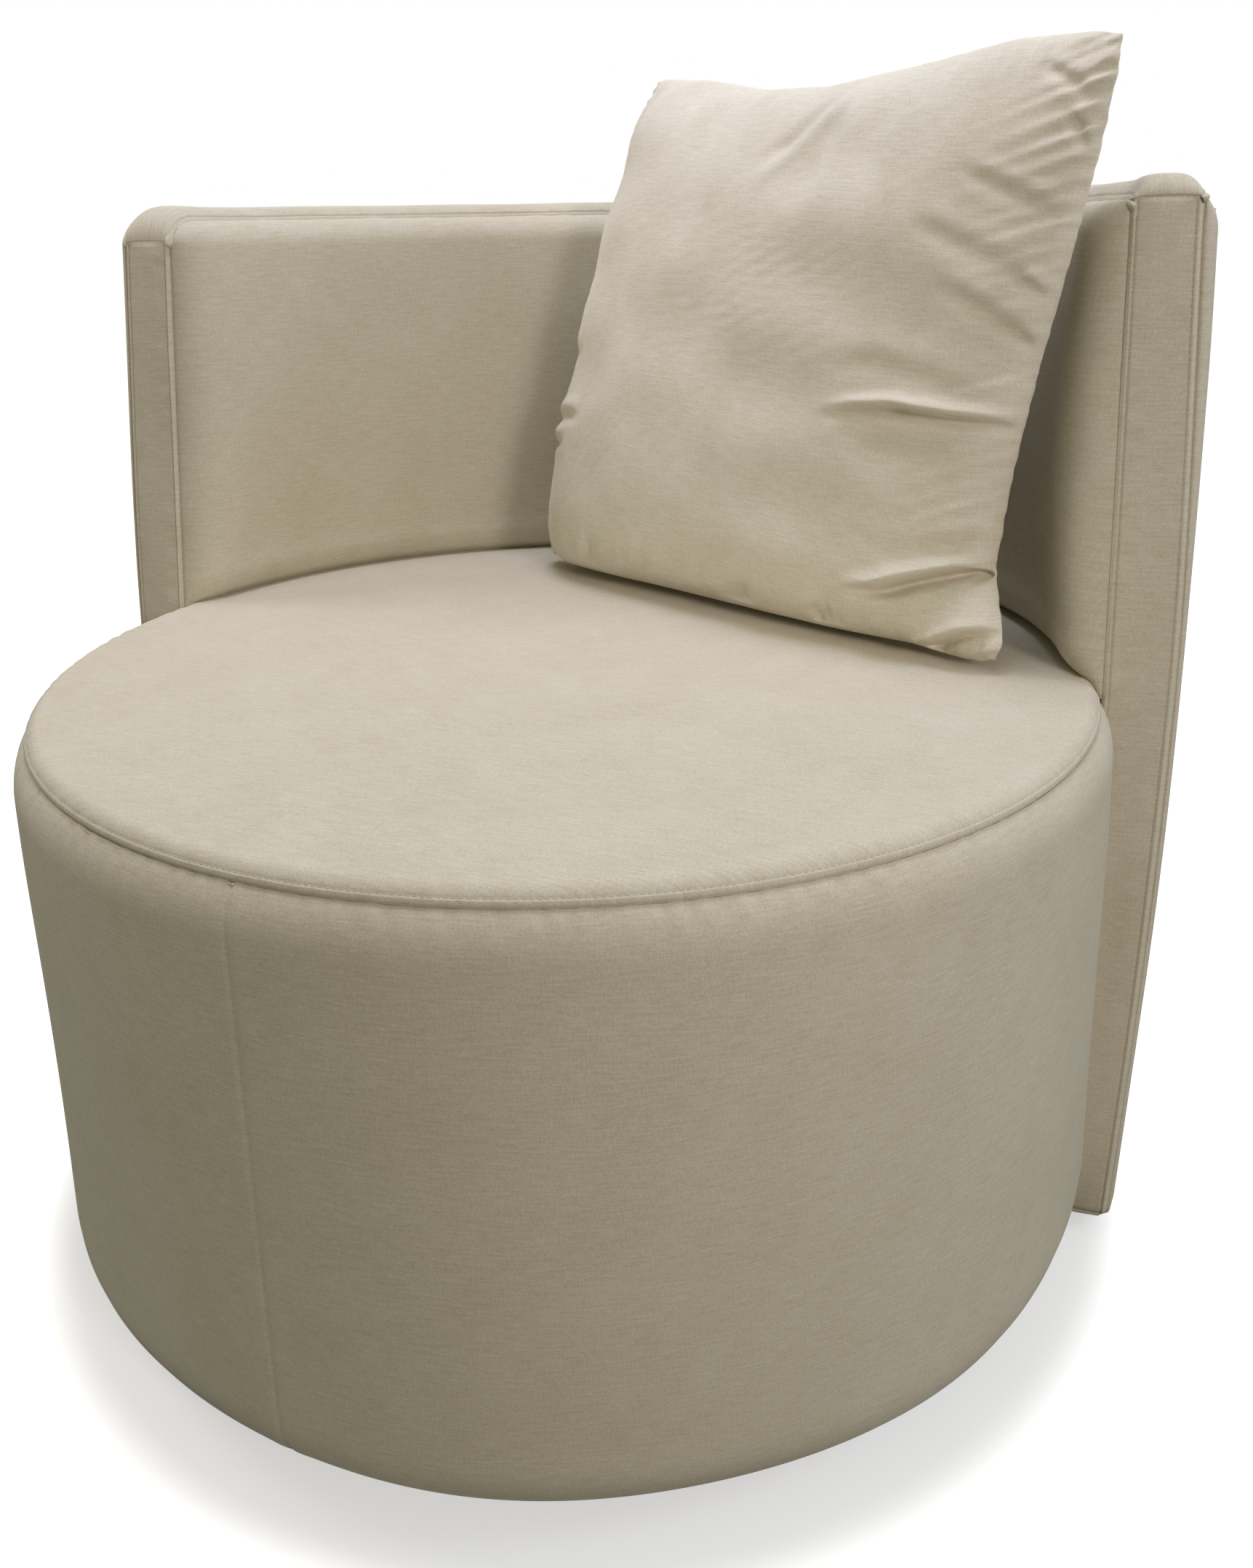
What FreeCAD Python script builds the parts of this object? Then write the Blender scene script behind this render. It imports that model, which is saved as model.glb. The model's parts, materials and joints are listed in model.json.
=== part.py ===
import FreeCAD, Part
import math
import os

# Swivel barrel chair: a round upholstered seat drum inside a half-round padded back, on a
# low swivel base that the drum hides, with one loose scatter cushion on the seat.
# Millimetres, +Z up. The origin is on the floor, on the swivel axis. The front faces -Y.
# Outlines are drawn in the radius and height plane, then turned about the swivel axis.
# Angles run from +X towards +Y, so the middle of the back is at a quarter turn.

# Seat drum, measured on its fabric
seat_radius = 390.0
seat_seam_height = 435.0
seat_edge_round = 12.0
seat_edge_rise = 10.0
seat_crown_rise = 10.0
drum_shoulder_flare = 12.0
drum_shoulder_drop = 30.0
drum_shoulder_bulge = 4.0
drum_foot_flare = 18.0
drum_foot_round = 54.0
drum_hem_width = 22.0
drum_floor_gap = 16.0

# Half-round back, measured on its fabric
arm_front_setback = 45.0
arm_front_lean = 4.9
wall_top_height = 758.0
wall_crown = 14.0
wall_seat_gap = 2.0
wall_inner_lean = 17.0
wall_top_thickness = 56.0
wall_outer_lean = 18.0
wall_outer_bow = 7.0
wall_foot_round = 10.0
wall_floor_gap = 14.0
wall_hem_width = 26.0

# Inner pad of the back
pad_foot_lift = 11.0
pad_foot_setback = 8.0
pad_foot_depth = 24.0
pad_foot_round = 32.0
pad_foot_bulge = 7.0
pad_head_depth = 22.0
pad_head_round = 28.0
pad_head_bulge = 9.0
pad_face_bow = 4.0
pad_end_swing = 85.0
pad_back_gap = 0.9

# Upholstery layers and the clearance between neighbours
fabric = 2.0
wadding = 4.0
seat_wadding_thickness = 5.0
arm_front_foam_thickness = 10.0
skin_board = 4.0
seat_felt_thickness = 3.0
layer_gap = 0.3

# Timber frame
board = 18.0
plinth_setback = 30.0
plinth_thickness = 25.0
board_height = 49.0
side_board = 5.0
skirt_reach = 6.0
skirt_width = 42.0
skirt_segments_per_side = 5
skirt_segment_gap_angle = 2.0
seat_ring_drop = 52.0
seat_ring_setback = 30.0
seat_ring_width = 72.0
post_width = 45.0
post_setback = 27.0
post_angles = (196.0, 233.0, 270.0, 307.0, 344.0)
rib_count = 7
seat_foam_setback = 13.5
seat_foam_step_drop = 8.0
dust_cover_thickness = 1.0

# Floor glides
glide_radius = 20.0
glide_thickness = 6.0
glide_setback = 35.0
glide_count = 8

# Swivel bearing: two steel races with a caged ring of balls, held together by a rolled lip
race_radius = 150.0
race_bore_radius = 40.0
race_thickness = 7.0
race_gap = 4.0
ball_circle_radius = 122.0
ball_radius = 4.7
ball_count = 20
ball_clearance = 0.3
cage_thickness = 2.4
cage_rim = 9.0
lip_wall = 4.0
lip_thickness = 2.4
lip_reach = 11.0
lip_clearance = 0.8
flange_thickness = 2.2

# Fasteners
screw_radius = 2.2
screw_head_radius = 4.5
screw_head_height = 3.0
bolt_radius = 4.0
bolt_head_radius = 6.5
bolt_head_height = 6.0
fastener_clearance = 0.1
cut_overrun = 1.0
race_screw_circle_radius = 80.0
race_screw_count = 6
race_screw_bite = 15.0
frame_screw_length = 60.0
rail_screw_length = 50.0
skirt_screw_length = 43.0
screw_pair_offset = 12.0
rib_screw_offset = 18.0
rib_bolt_recess = 14.0
rib_bolt_length = 66.0

# Zigzag seat springs
spring_wire_radius = 1.9
spring_offset = 104.0
spring_count = 4
spring_half_width = 24.0
spring_pitch = 30.0
spring_end_inset = 8.0
clip_length = 16.0
clip_width = 12.0
clip_height = 8.0

# Scatter cushion, leaning on the inner pad
cushion_width = 488.0
cushion_left_height = 434.0
cushion_right_height = 402.0
cushion_thickness = 146.0
cushion_seam = 7.0
cushion_side_draw = 14.0
cushion_top_draw = 18.0
cushion_shear = 32.0
cushion_shift = 21.6
cushion_pad_gap = 5.4
cushion_foot_lift = 1.05
cushion_turn = -24.8
cushion_lean = 9.8
cushion_lean_change = 6.7
cushion_stations = 9
cushion_fullness_share = 0.5

# Worked-out values
origin = FreeCAD.Vector(0, 0, 0)
up = FreeCAD.Vector(0, 0, 1)
full_turn = 360.0
half_turn = 180.0
back_angle = 90.0
quarter_bulge_share = 1 - math.sqrt(0.5)
seat_centre_height = seat_seam_height + seat_edge_rise + seat_crown_rise
drum_shoulder_radius = seat_radius + drum_shoulder_flare
drum_foot_radius = drum_shoulder_radius + drum_foot_flare
wall_inner_seat_radius = seat_radius + wall_seat_gap
wall_inner_top_radius = wall_inner_seat_radius - wall_inner_lean
wall_outer_top_radius = wall_inner_top_radius + wall_top_thickness
wall_outer_foot_radius = wall_outer_top_radius + wall_outer_lean
far_reach = wall_outer_foot_radius + wall_top_height
pad_foot_height = seat_seam_height + pad_foot_lift
outer_layers = fabric + wadding + skin_board + 3 * layer_gap
arm_front_depth = arm_front_foam_thickness + fabric + 2 * layer_gap
rib_depth = arm_front_depth + board / 2
drum_base_radius = drum_foot_radius - drum_foot_round + skirt_reach
skirt_inner_radius = drum_base_radius - skirt_width
plinth_radius = skirt_inner_radius - plinth_setback
glide_circle_radius = plinth_radius - glide_setback
board_top = board_height + board
skirt_bottom = drum_floor_gap + fabric + 3 * layer_gap
side_board_foot = skirt_bottom + fabric
plinth_top = glide_thickness + plinth_thickness
lower_race_top = plinth_top + race_thickness
upper_race_bottom = lower_race_top + race_gap
ball_height = lower_race_top + race_gap / 2
rail_top = wall_top_height - wadding - layer_gap
rail_bottom = rail_top - board
rib_top = rail_bottom - layer_gap
seat_ring_top = seat_seam_height - seat_ring_drop
seat_ring_bottom = seat_ring_top - board
seat_ring_radius = drum_shoulder_radius - seat_ring_setback
seat_ring_inner_radius = seat_ring_radius - seat_ring_width
felt_bottom = seat_ring_top + clip_height + layer_gap
seat_foam_bottom = felt_bottom + seat_felt_thickness + layer_gap


def keep(name, shape):
    """Write one node."""
    shape.exportStep(os.path.join("parts", name + ".step"))
    print(name, len(shape.Solids), round(shape.Volume), shape.isValid())


def polar(radius, angle, height):
    """Point at a radius and an angle in degrees about the swivel axis."""
    turn = math.radians(angle)
    return FreeCAD.Vector(radius * math.cos(turn), radius * math.sin(turn), height)


def spread(count):
    """Angles of a full ring of equal steps."""
    return [full_turn * index / count for index in range(count)]


def plane_point(point):
    """Point of the radius and height plane as a vector."""
    return FreeCAD.Vector(point[0], 0, point[1])


def edge_to(here, step):
    """Edge to the next step of an outline, and where it ends.

    A step is a point, for a straight edge, or a bulge and a point, for an arc that stands
    proud by the bulge on the right of the way it runs.
    """
    if not isinstance(step[1], tuple):
        return Part.LineSegment(plane_point(here), plane_point(step)).toShape(), step
    bulge, there = step
    run = math.hypot(there[0] - here[0], there[1] - here[1])
    side = ((there[1] - here[1]) / run, (here[0] - there[0]) / run)
    middle = ((here[0] + there[0]) / 2 + side[0] * bulge, (here[1] + there[1]) / 2 + side[1] * bulge)
    return Part.Arc(plane_point(here), plane_point(middle), plane_point(there)).toShape(), there


def dome_bulge(reach, rise):
    """Bulge of an arc from a dome's edge to its top, level where it meets the swivel axis."""
    chord_square = reach ** 2 + rise ** 2
    radius = chord_square / (2 * rise)
    return radius - math.sqrt(radius ** 2 - chord_square / 4)


def backwards(outline):
    """The same outline run the other way."""
    corners = [outline[0]]
    for step in outline[1:]:
        corners.append(step[1] if isinstance(step[1], tuple) else step)
    result = [corners[-1]]
    for step, corner in zip(reversed(outline[1:]), reversed(corners[:-1])):
        result.append((-step[0], corner) if isinstance(step[1], tuple) else corner)
    return result


def face_inside(outline):
    """Face inside an outline, closed by a straight edge."""
    edges = []
    here = outline[0]
    for step in outline[1:] + [outline[0]]:
        edge, here = edge_to(here, step)
        edges.append(edge)
    return Part.Face(Part.Wire(edges))


def face_between(outer, inner):
    """Face of a layer between two outlines that run the same way."""
    return face_inside(outer + backwards(inner))


def turned(face, start, end):
    """Solid swept by a face about the swivel axis, from one angle to another."""
    solid = face.revolve(origin, up, end - start)
    solid.rotate(origin, up, start)
    return solid


def ring(inner, outer, bottom, top):
    """Face of a flat ring."""
    return face_inside([(inner, bottom), (outer, bottom), (outer, top), (inner, top)])


def inner_line(height):
    """Radius of the pad's back at a height: the line of the inner seams."""
    share = (height - seat_seam_height) / (wall_top_height - seat_seam_height)
    return wall_inner_seat_radius + share * (wall_inner_top_radius - wall_inner_seat_radius)


def outer_line(height):
    """Radius of the outer fabric at a height, with its bow."""
    share = (height - wall_floor_gap) / (wall_top_height - wall_floor_gap)
    return wall_outer_foot_radius - share * wall_outer_lean + 4 * wall_outer_bow * share * (1 - share)


def outer_bulge(low, high):
    """Bulge of the outer line's arc between two heights."""
    return wall_outer_bow * ((high - low) / (wall_top_height - wall_floor_gap)) ** 2


def front_line(height, depth):
    """Y of the arm fronts' leaning plane at a height, or of a plane at a depth behind it."""
    lean = math.radians(arm_front_lean)
    rise = (height - seat_seam_height) * math.tan(lean)
    return arm_front_setback + rise + depth / math.cos(lean)


def front_point(side, radius, height, depth):
    """Point at a radius and a height on a plane behind the arm fronts. Side 1 is at +X."""
    back = front_line(height, depth)
    return FreeCAD.Vector(side * math.sqrt(radius ** 2 - back ** 2), back, height)


def leaned(shape):
    """An upright shape at the arm fronts, turned into their leaning plane."""
    shape.rotate(FreeCAD.Vector(0, arm_front_setback, seat_seam_height), FreeCAD.Vector(1, 0, 0),
                 -arm_front_lean)
    return shape


def front_slab(near, far):
    """Slab between two depths behind the arm fronts."""
    corner = FreeCAD.Vector(-far_reach, arm_front_setback + near, seat_seam_height - far_reach)
    return leaned(Part.makeBox(2 * far_reach, far - near, 2 * far_reach, corner))


def wall_layer(face, depth):
    """Layer swept round the back, from a depth behind the arm fronts."""
    swept = turned(face, -back_angle, full_turn - back_angle)
    return swept.common(front_slab(depth, 2 * far_reach))


def drum_layer(face):
    """Layer swept round the front of the drum, up to the arm fronts."""
    swept = turned(face, back_angle, full_turn + back_angle)
    return swept.common(front_slab(-2 * far_reach, -layer_gap))


def frame_inside(height):
    """Radius of the ribs' inner edge."""
    return inner_line(height) + skin_board + layer_gap


def frame_outside(height):
    """Radius of the ribs' outer edge."""
    return outer_line(height) - outer_layers


def fastener(place, way, length, radius, head_radius, head_height, spare):
    """Headed fastener that points along its way, or its hole when spare is more than zero."""
    start = place - way * (cut_overrun if spare else 0)
    back = (place - start).Length
    head = Part.makeCylinder(head_radius + spare, head_height + back + spare, start, way)
    shank = Part.makeCylinder(radius + spare, length + back + spare, start, way)
    return head.fuse(shank)


def screws(places, spare=0):
    """Screws or their holes, from places, ways and lengths."""
    made = []
    for place, way, length in places:
        made.append(fastener(place, way, length, screw_radius, screw_head_radius,
                             screw_head_height, spare))
    return Part.makeCompound(made)


def bolts(places, spare=0):
    """Bolts or their holes, from places, ways and lengths."""
    made = []
    for place, way, length in places:
        made.append(fastener(place, way, length, bolt_radius, bolt_head_radius,
                             bolt_head_height, spare))
    return Part.makeCompound(made)


def pair_about(radius, angle, spacing, height):
    """Two points side by side, a spacing to each side of a radius."""
    middle = polar(radius, angle, height)
    across = polar(spacing, angle + back_angle, 0)
    return [middle + across, middle - across]


def rib_place(index, radius, height):
    """Point on a rib's middle plane, and the way out of the back there.

    The first and last rib lean with the arm fronts. The others stand upright between them.
    """
    if index in (0, rib_count - 1):
        side = 1 if index == 0 else -1
        return front_point(side, radius, height, rib_depth), FreeCAD.Vector(side, 0, 0)
    angle = rib_angle(index)
    return polar(radius, angle, height), polar(1, angle, 0)


def rib_angle(index):
    """Angle of a rib about the swivel axis at the top rail."""
    first = math.degrees(math.asin(front_line(rib_top, rib_depth) / wall_inner_top_radius))
    return first + (half_turn - 2 * first) * index / (rib_count - 1)


def lower_race_screw_places():
    """Screws down through the lower race into the plinth."""
    places = []
    for angle in spread(race_screw_count):
        place = polar(race_screw_circle_radius, angle, lower_race_top)
        places.append((place, -up, race_thickness + race_screw_bite))
    return places


def upper_race_screw_places():
    """Screws up through the upper race into the bottom board."""
    places = []
    for angle in spread(race_screw_count):
        place = polar(race_screw_circle_radius, angle, upper_race_bottom)
        places.append((place, up, race_thickness + race_screw_bite))
    return places


def skirt_angles():
    """Start and end of each skirt segment: the back's, then the drum's."""
    spans = []
    low = math.degrees(math.asin(front_line(board_height, 0) / drum_base_radius))
    for start, end in ((low, half_turn - low), (half_turn - low, full_turn + low)):
        step = (end - start) / skirt_segments_per_side
        for index in range(skirt_segments_per_side):
            first = start + step * index + skirt_segment_gap_angle / 2
            spans.append((first, first + step - skirt_segment_gap_angle))
    return spans


def skirt_screw_places():
    """Two screws up through each skirt segment into the bottom board."""
    places = []
    radius = (skirt_inner_radius + drum_base_radius) / 2
    for start, end in skirt_angles():
        quarter = (end - start) / 4
        for angle in (start + quarter, end - quarter):
            places.append((polar(radius, angle, skirt_bottom), up, skirt_screw_length))
    return places


def post_screw_places():
    """Two screws into each end of each seat post."""
    places = []
    foot = drum_base_radius - post_setback
    head = seat_ring_radius - post_setback
    for angle in post_angles:
        for place in pair_about(foot, angle, screw_pair_offset, board_height):
            places.append((place, up, frame_screw_length))
        for place in pair_about(head, angle, screw_pair_offset, seat_ring_top):
            places.append((place, -up, frame_screw_length))
    return places


def rib_foot_screw_places():
    """Two screws up through the bottom board into each rib."""
    places = []
    middle = (drum_base_radius + frame_outside(board_top)) / 2
    bite = (board_height + frame_screw_length + board_top) / 2
    for index in range(rib_count):
        for radius in (middle - rib_screw_offset, middle + rib_screw_offset):
            place = rib_place(index, radius, bite)[0]
            place.z = board_height
            places.append((place, up, frame_screw_length))
    return places


def top_rail_screw_places():
    """One screw down through the top rail into each rib."""
    places = []
    middle = (frame_inside(rail_top) + frame_outside(rail_top)) / 2
    bite = (rail_top - rail_screw_length + rib_top) / 2
    for index in range(rib_count):
        place = rib_place(index, middle, bite)[0]
        place.z = rail_top
        places.append((place, -up, rail_screw_length))
    return places


def rib_bolt_places():
    """One bolt inwards through each rib into the edge of the seat ring."""
    height = seat_ring_top - board / 2
    places = []
    for index in range(rib_count):
        place, way = rib_place(index, frame_outside(height) - rib_bolt_recess, height)
        places.append((place, -way, rib_bolt_length))
    return places


def rib_bolt_pockets():
    """Sockets that let each bolt in from the ribs' outer edges."""
    height = seat_ring_top - board / 2
    pockets = []
    for index in range(rib_count):
        place, way = rib_place(index, frame_outside(height) + cut_overrun, height)
        pockets.append(Part.makeCylinder(bolt_head_radius + fastener_clearance,
                                         rib_bolt_recess + cut_overrun, place, -way))
    return Part.makeCompound(pockets)


# Outlines of the fabric's outside, each run so that the outside is on its right

def seat_top_outline(inset, bottom):
    """Seat top from its rim up to its middle."""
    rim = seat_radius - inset
    edge = (seat_radius - seat_edge_round, seat_seam_height + seat_edge_rise - inset)
    bulge = quarter_bulge_share * (seat_edge_round - inset)
    crown = dome_bulge(edge[0], seat_centre_height - seat_seam_height - seat_edge_rise)
    return [(rim, bottom), (rim, seat_seam_height), (bulge, edge),
            (crown, (0, seat_centre_height - inset))]


def drum_side_outline(inset):
    """Side of the drum from its hem, round the foot and up to the seat seam."""
    hem = drum_foot_radius - drum_foot_round - drum_hem_width
    floor = drum_floor_gap + inset
    shoulder = (drum_shoulder_radius - inset, seat_seam_height - drum_shoulder_drop)
    seam_height = seat_seam_height - layer_gap
    return [(hem, floor), (drum_foot_radius - drum_foot_round, floor),
            (quarter_bulge_share * (drum_foot_round - inset),
             (drum_foot_radius - inset, drum_floor_gap + drum_foot_round)),
            shoulder, (drum_shoulder_bulge, (seat_radius - inset, seam_height))]


def wall_outside_outline(inset, top):
    """Outside of the back from its hem, round the foot and up to its top seam."""
    low = wall_floor_gap + wall_foot_round
    foot = outer_line(low)
    return [(foot - wall_foot_round - wall_hem_width, wall_floor_gap + inset),
            (foot - wall_foot_round, wall_floor_gap + inset),
            (quarter_bulge_share * (wall_foot_round - inset), (foot - inset, low)),
            (outer_bulge(low, top), (outer_line(top) - inset, top))]


def wall_crown_outline(inset):
    """Top of the back from its outer seam to its inner seam."""
    seam_height = wall_top_height + layer_gap
    return [(wall_outer_top_radius - inset, seam_height),
            (wall_crown - inset, (wall_inner_top_radius + inset, seam_height))]


def pad_outline(inset):
    """Face of the inner pad from its head seam down to its foot on the seat."""
    head_height = wall_top_height - pad_head_round
    foot_height = pad_foot_height + pad_foot_round
    head = (inner_line(head_height) - pad_head_depth + inset, head_height)
    foot = (inner_line(foot_height) - pad_foot_depth + inset, foot_height)
    toe = (inner_line(pad_foot_height) - pad_foot_setback, pad_foot_height + inset)
    return [(inner_line(wall_top_height - inset), wall_top_height - inset),
            (pad_head_bulge, head), (pad_face_bow, foot), (pad_foot_bulge, toe)]


# Swivel base

def base_plinth():
    """Round board under the swivel bearing."""
    disc = Part.makeCylinder(plinth_radius, plinth_thickness, up * glide_thickness)
    return disc.cut(screws(lower_race_screw_places(), fastener_clearance))


def floor_glides():
    """Ring of glides, and one under the bearing's middle."""
    glides = [Part.makeCylinder(glide_radius, glide_thickness)]
    for angle in spread(glide_count):
        glides.append(Part.makeCylinder(glide_radius, glide_thickness,
                                        polar(glide_circle_radius, angle, 0)))
    return Part.makeCompound(glides)


def ball_groove():
    """Ring that the balls run in, cut into both races."""
    return Part.makeTorus(ball_circle_radius, ball_radius + ball_clearance, up * ball_height)


def swivel_lower_race():
    """Lower race with its wall and the lip that holds the upper race down."""
    flange_top = upper_race_bottom + flange_thickness
    lip_bottom = flange_top + lip_clearance
    outline = [(race_bore_radius, plinth_top), (race_radius, plinth_top),
               (race_radius, lip_bottom + lip_thickness),
               (race_radius - lip_reach, lip_bottom + lip_thickness),
               (race_radius - lip_reach, lip_bottom), (race_radius - lip_wall, lip_bottom),
               (race_radius - lip_wall, lower_race_top), (race_bore_radius, lower_race_top)]
    race = turned(face_inside(outline), 0, full_turn)
    return race.cut(ball_groove()).cut(screws(lower_race_screw_places(), fastener_clearance))


def swivel_upper_race():
    """Upper race with the flange that runs under the lip."""
    top = upper_race_bottom + race_thickness
    body = race_radius - lip_reach - lip_clearance
    flange = race_radius - lip_wall - lip_clearance
    flange_top = upper_race_bottom + flange_thickness
    outline = [(race_bore_radius, upper_race_bottom), (flange, upper_race_bottom),
               (flange, flange_top), (body, flange_top), (body, top), (race_bore_radius, top)]
    race = turned(face_inside(outline), 0, full_turn)
    return race.cut(ball_groove()).cut(screws(upper_race_screw_places(), fastener_clearance))


def ball_places():
    """Centres of the balls."""
    return [polar(ball_circle_radius, angle, ball_height) for angle in spread(ball_count)]


def ball_retainer():
    """Disc that keeps the balls apart."""
    outline = ring(race_bore_radius, ball_circle_radius + cage_rim,
                   ball_height - cage_thickness / 2, ball_height + cage_thickness / 2)
    pockets = [Part.makeSphere(ball_radius + ball_clearance, place) for place in ball_places()]
    return turned(outline, 0, full_turn).cut(Part.makeCompound(pockets))


def bearing_balls():
    """Balls of the swivel bearing."""
    return Part.makeCompound([Part.makeSphere(ball_radius, place) for place in ball_places()])


# Timber frame

def two_radius_disc(inner, bottom, top):
    """Disc or ring that is wider behind the drum, under the back."""
    wide = min(frame_outside(bottom), frame_outside(top))
    front = turned(ring(inner, drum_base_radius, bottom, top), 0, full_turn)
    back = wall_layer(ring(inner, wide, bottom, top), arm_front_depth)
    return front.fuse(back).removeSplitter()


def bottom_board():
    """Board that carries the seat and the back."""
    holes = (upper_race_screw_places() + skirt_screw_places() + post_screw_places()
             + rib_foot_screw_places())
    return two_radius_disc(0, board_height, board_top).cut(screws(holes, fastener_clearance))


def skirt_segments():
    """Segments under the bottom board that the hems are stapled to."""
    segments = []
    wide = outer_line(wall_floor_gap) - outer_layers - wall_foot_round
    behind = front_slab(arm_front_depth, 2 * far_reach)
    holes = screws(skirt_screw_places(), fastener_clearance)
    for index, (start, end) in enumerate(skirt_angles()):
        under_back = index < skirt_segments_per_side
        outside = wide if under_back else drum_base_radius
        face = ring(skirt_inner_radius, outside, skirt_bottom, board_height - layer_gap)
        segment = turned(face, start, end)
        segments.append((segment.common(behind) if under_back else segment).cut(holes))
    return Part.makeCompound(segments)


def seat_post(angle):
    """Post between the bottom board and the seat ring."""
    foot = drum_base_radius - post_setback
    head = seat_ring_radius - post_setback
    bottom = board_top + layer_gap
    square = [(-1, -1), (1, -1), (1, 1), (-1, 1), (-1, -1)]
    corners = [FreeCAD.Vector(foot + post_width / 2 * x, post_width / 2 * y, bottom)
               for x, y in square]
    rise = FreeCAD.Vector(head - foot, 0, seat_ring_bottom - layer_gap - bottom)
    post = Part.Face(Part.makePolygon(corners)).extrude(rise)
    post.rotate(origin, up, angle)
    return post.cut(screws(post_screw_places(), fastener_clearance))


def seat_ring():
    """Ring that carries the springs, on the posts and bolted to the ribs."""
    face = ring(seat_ring_inner_radius, seat_ring_radius, seat_ring_bottom, seat_ring_top)
    holes = screws(post_screw_places(), fastener_clearance)
    return turned(face, 0, full_turn).cut(holes).cut(bolts(rib_bolt_places(), fastener_clearance))


def back_rib(index):
    """Rib of the back: deep below the seat, narrow between the skins."""
    foot = board_top + layer_gap
    outline = [(drum_base_radius + layer_gap, foot), (frame_outside(foot), foot),
               (outer_bulge(foot, rib_top), (frame_outside(rib_top), rib_top)),
               (frame_inside(rib_top), rib_top),
               (frame_inside(seat_seam_height), seat_seam_height),
               (frame_inside(seat_seam_height), seat_ring_top),
               (seat_ring_radius + layer_gap, seat_ring_top)]
    face = face_inside(outline)
    if index in (0, rib_count - 1):
        start = -back_angle if index == 0 else back_angle
        slab = front_slab(arm_front_depth, arm_front_depth + board)
        rib = turned(face, start, start + half_turn).common(slab)
    else:
        rib = face.extrude(FreeCAD.Vector(0, board, 0))
        rib.translate(FreeCAD.Vector(0, -board / 2, 0))
        rib.rotate(origin, up, rib_angle(index))
    holes = screws(rib_foot_screw_places() + top_rail_screw_places(), fastener_clearance)
    return rib.cut(holes).cut(bolts(rib_bolt_places(), fastener_clearance)).cut(rib_bolt_pockets())


def back_top_rail():
    """Curved rail along the top of the ribs."""
    outline = [(frame_inside(rail_bottom), rail_bottom), (frame_outside(rail_bottom), rail_bottom),
               (frame_outside(rail_top), rail_top), (frame_inside(rail_top), rail_top)]
    rail = wall_layer(face_inside(outline), arm_front_depth)
    return rail.cut(screws(top_rail_screw_places(), fastener_clearance))


def back_inner_skin():
    """Bent board behind the inner pad."""
    foot = pad_foot_height + layer_gap
    outline = [(inner_line(foot), foot), (inner_line(foot) + skin_board, foot),
               (inner_line(rail_top) + skin_board, rail_top), (inner_line(rail_top), rail_top)]
    return wall_layer(face_inside(outline), arm_front_depth)


def back_outer_skin():
    """Bent board behind the outer fabric, from the skirt to the top rail."""
    foot = wall_floor_gap + wall_foot_round
    bulge = outer_bulge(foot, rail_top)
    sides = []
    for inset in (outer_layers - skin_board - layer_gap, outer_layers - layer_gap):
        head = (outer_line(rail_top) - inset, rail_top)
        sides.append([(outer_line(foot) - inset, foot), (bulge, head)])
    return wall_layer(face_between(sides[0], sides[1]), arm_front_depth)


def drum_side_board():
    """Bent board round the front of the drum."""
    foot = drum_base_radius + layer_gap
    head = seat_ring_radius + layer_gap
    outline = [(foot, side_board_foot), (foot + side_board, side_board_foot),
               (head + side_board, seat_ring_top), (head, seat_ring_top)]
    return drum_layer(face_inside(outline))


# Zigzag springs

def spring_shift(index):
    """Distance of a spring from the middle, along X."""
    return spring_offset * (index - (spring_count - 1) / 2)


def spring_runs(index):
    """Number of cross runs of a spring."""
    middle = (seat_ring_inner_radius + seat_ring_radius) / 2 - spring_end_inset
    half = math.sqrt(middle ** 2 - spring_shift(index) ** 2)
    return int(2 * half / spring_pitch) + 1


def spring_end(index):
    """Distance of a spring's first and last run from the middle, along Y."""
    return spring_pitch * (spring_runs(index) - 1) / 2


def wire_height():
    """Height of the spring wire's middle."""
    return seat_ring_top + clip_height / 2


def seat_spring(index):
    """Wire that runs to and fro across the seat ring's opening."""
    turn_radius = spring_pitch / 2
    reach = spring_half_width - turn_radius
    shift = spring_shift(index)
    edges = []
    for run in range(spring_runs(index)):
        place = spring_pitch * run - spring_end(index)
        side = 1 if run % 2 == 0 else -1
        start = FreeCAD.Vector(shift - side * reach, place, wire_height())
        end = FreeCAD.Vector(shift + side * reach, place, wire_height())
        edges.append(Part.LineSegment(start, end).toShape())
        if run < spring_runs(index) - 1:
            bend = FreeCAD.Vector(shift + side * spring_half_width, place + turn_radius, wire_height())
            there = end + FreeCAD.Vector(0, spring_pitch, 0)
            edges.append(Part.Arc(end, bend, there).toShape())
    path = Part.Wire(edges)
    way = FreeCAD.Vector(1, 0, 0)
    start = FreeCAD.Vector(shift - reach, -spring_end(index), wire_height())
    section = Part.Wire([Part.makeCircle(spring_wire_radius, start, way)])
    return path.makePipeShell([section], True, False)


def spring_clips():
    """Clip on the seat ring at each end of each spring."""
    clips = []
    for index in range(spring_count):
        for place in (-spring_end(index), spring_end(index)):
            corner = FreeCAD.Vector(spring_shift(index) - clip_length / 2, place - clip_width / 2,
                                    seat_ring_top)
            clip = Part.makeBox(clip_length, clip_width, clip_height, corner)
            bore = Part.makeCylinder(spring_wire_radius + fastener_clearance,
                                     clip_length + 2 * cut_overrun,
                                     FreeCAD.Vector(corner.x - cut_overrun, place, wire_height()),
                                     FreeCAD.Vector(1, 0, 0))
            clips.append(clip.cut(bore))
    return Part.makeCompound(clips)


# Seat upholstery

def spring_felt():
    """Felt over the springs."""
    radius = seat_radius - seat_foam_setback
    return Part.makeCylinder(radius, seat_felt_thickness, up * felt_bottom)


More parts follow.
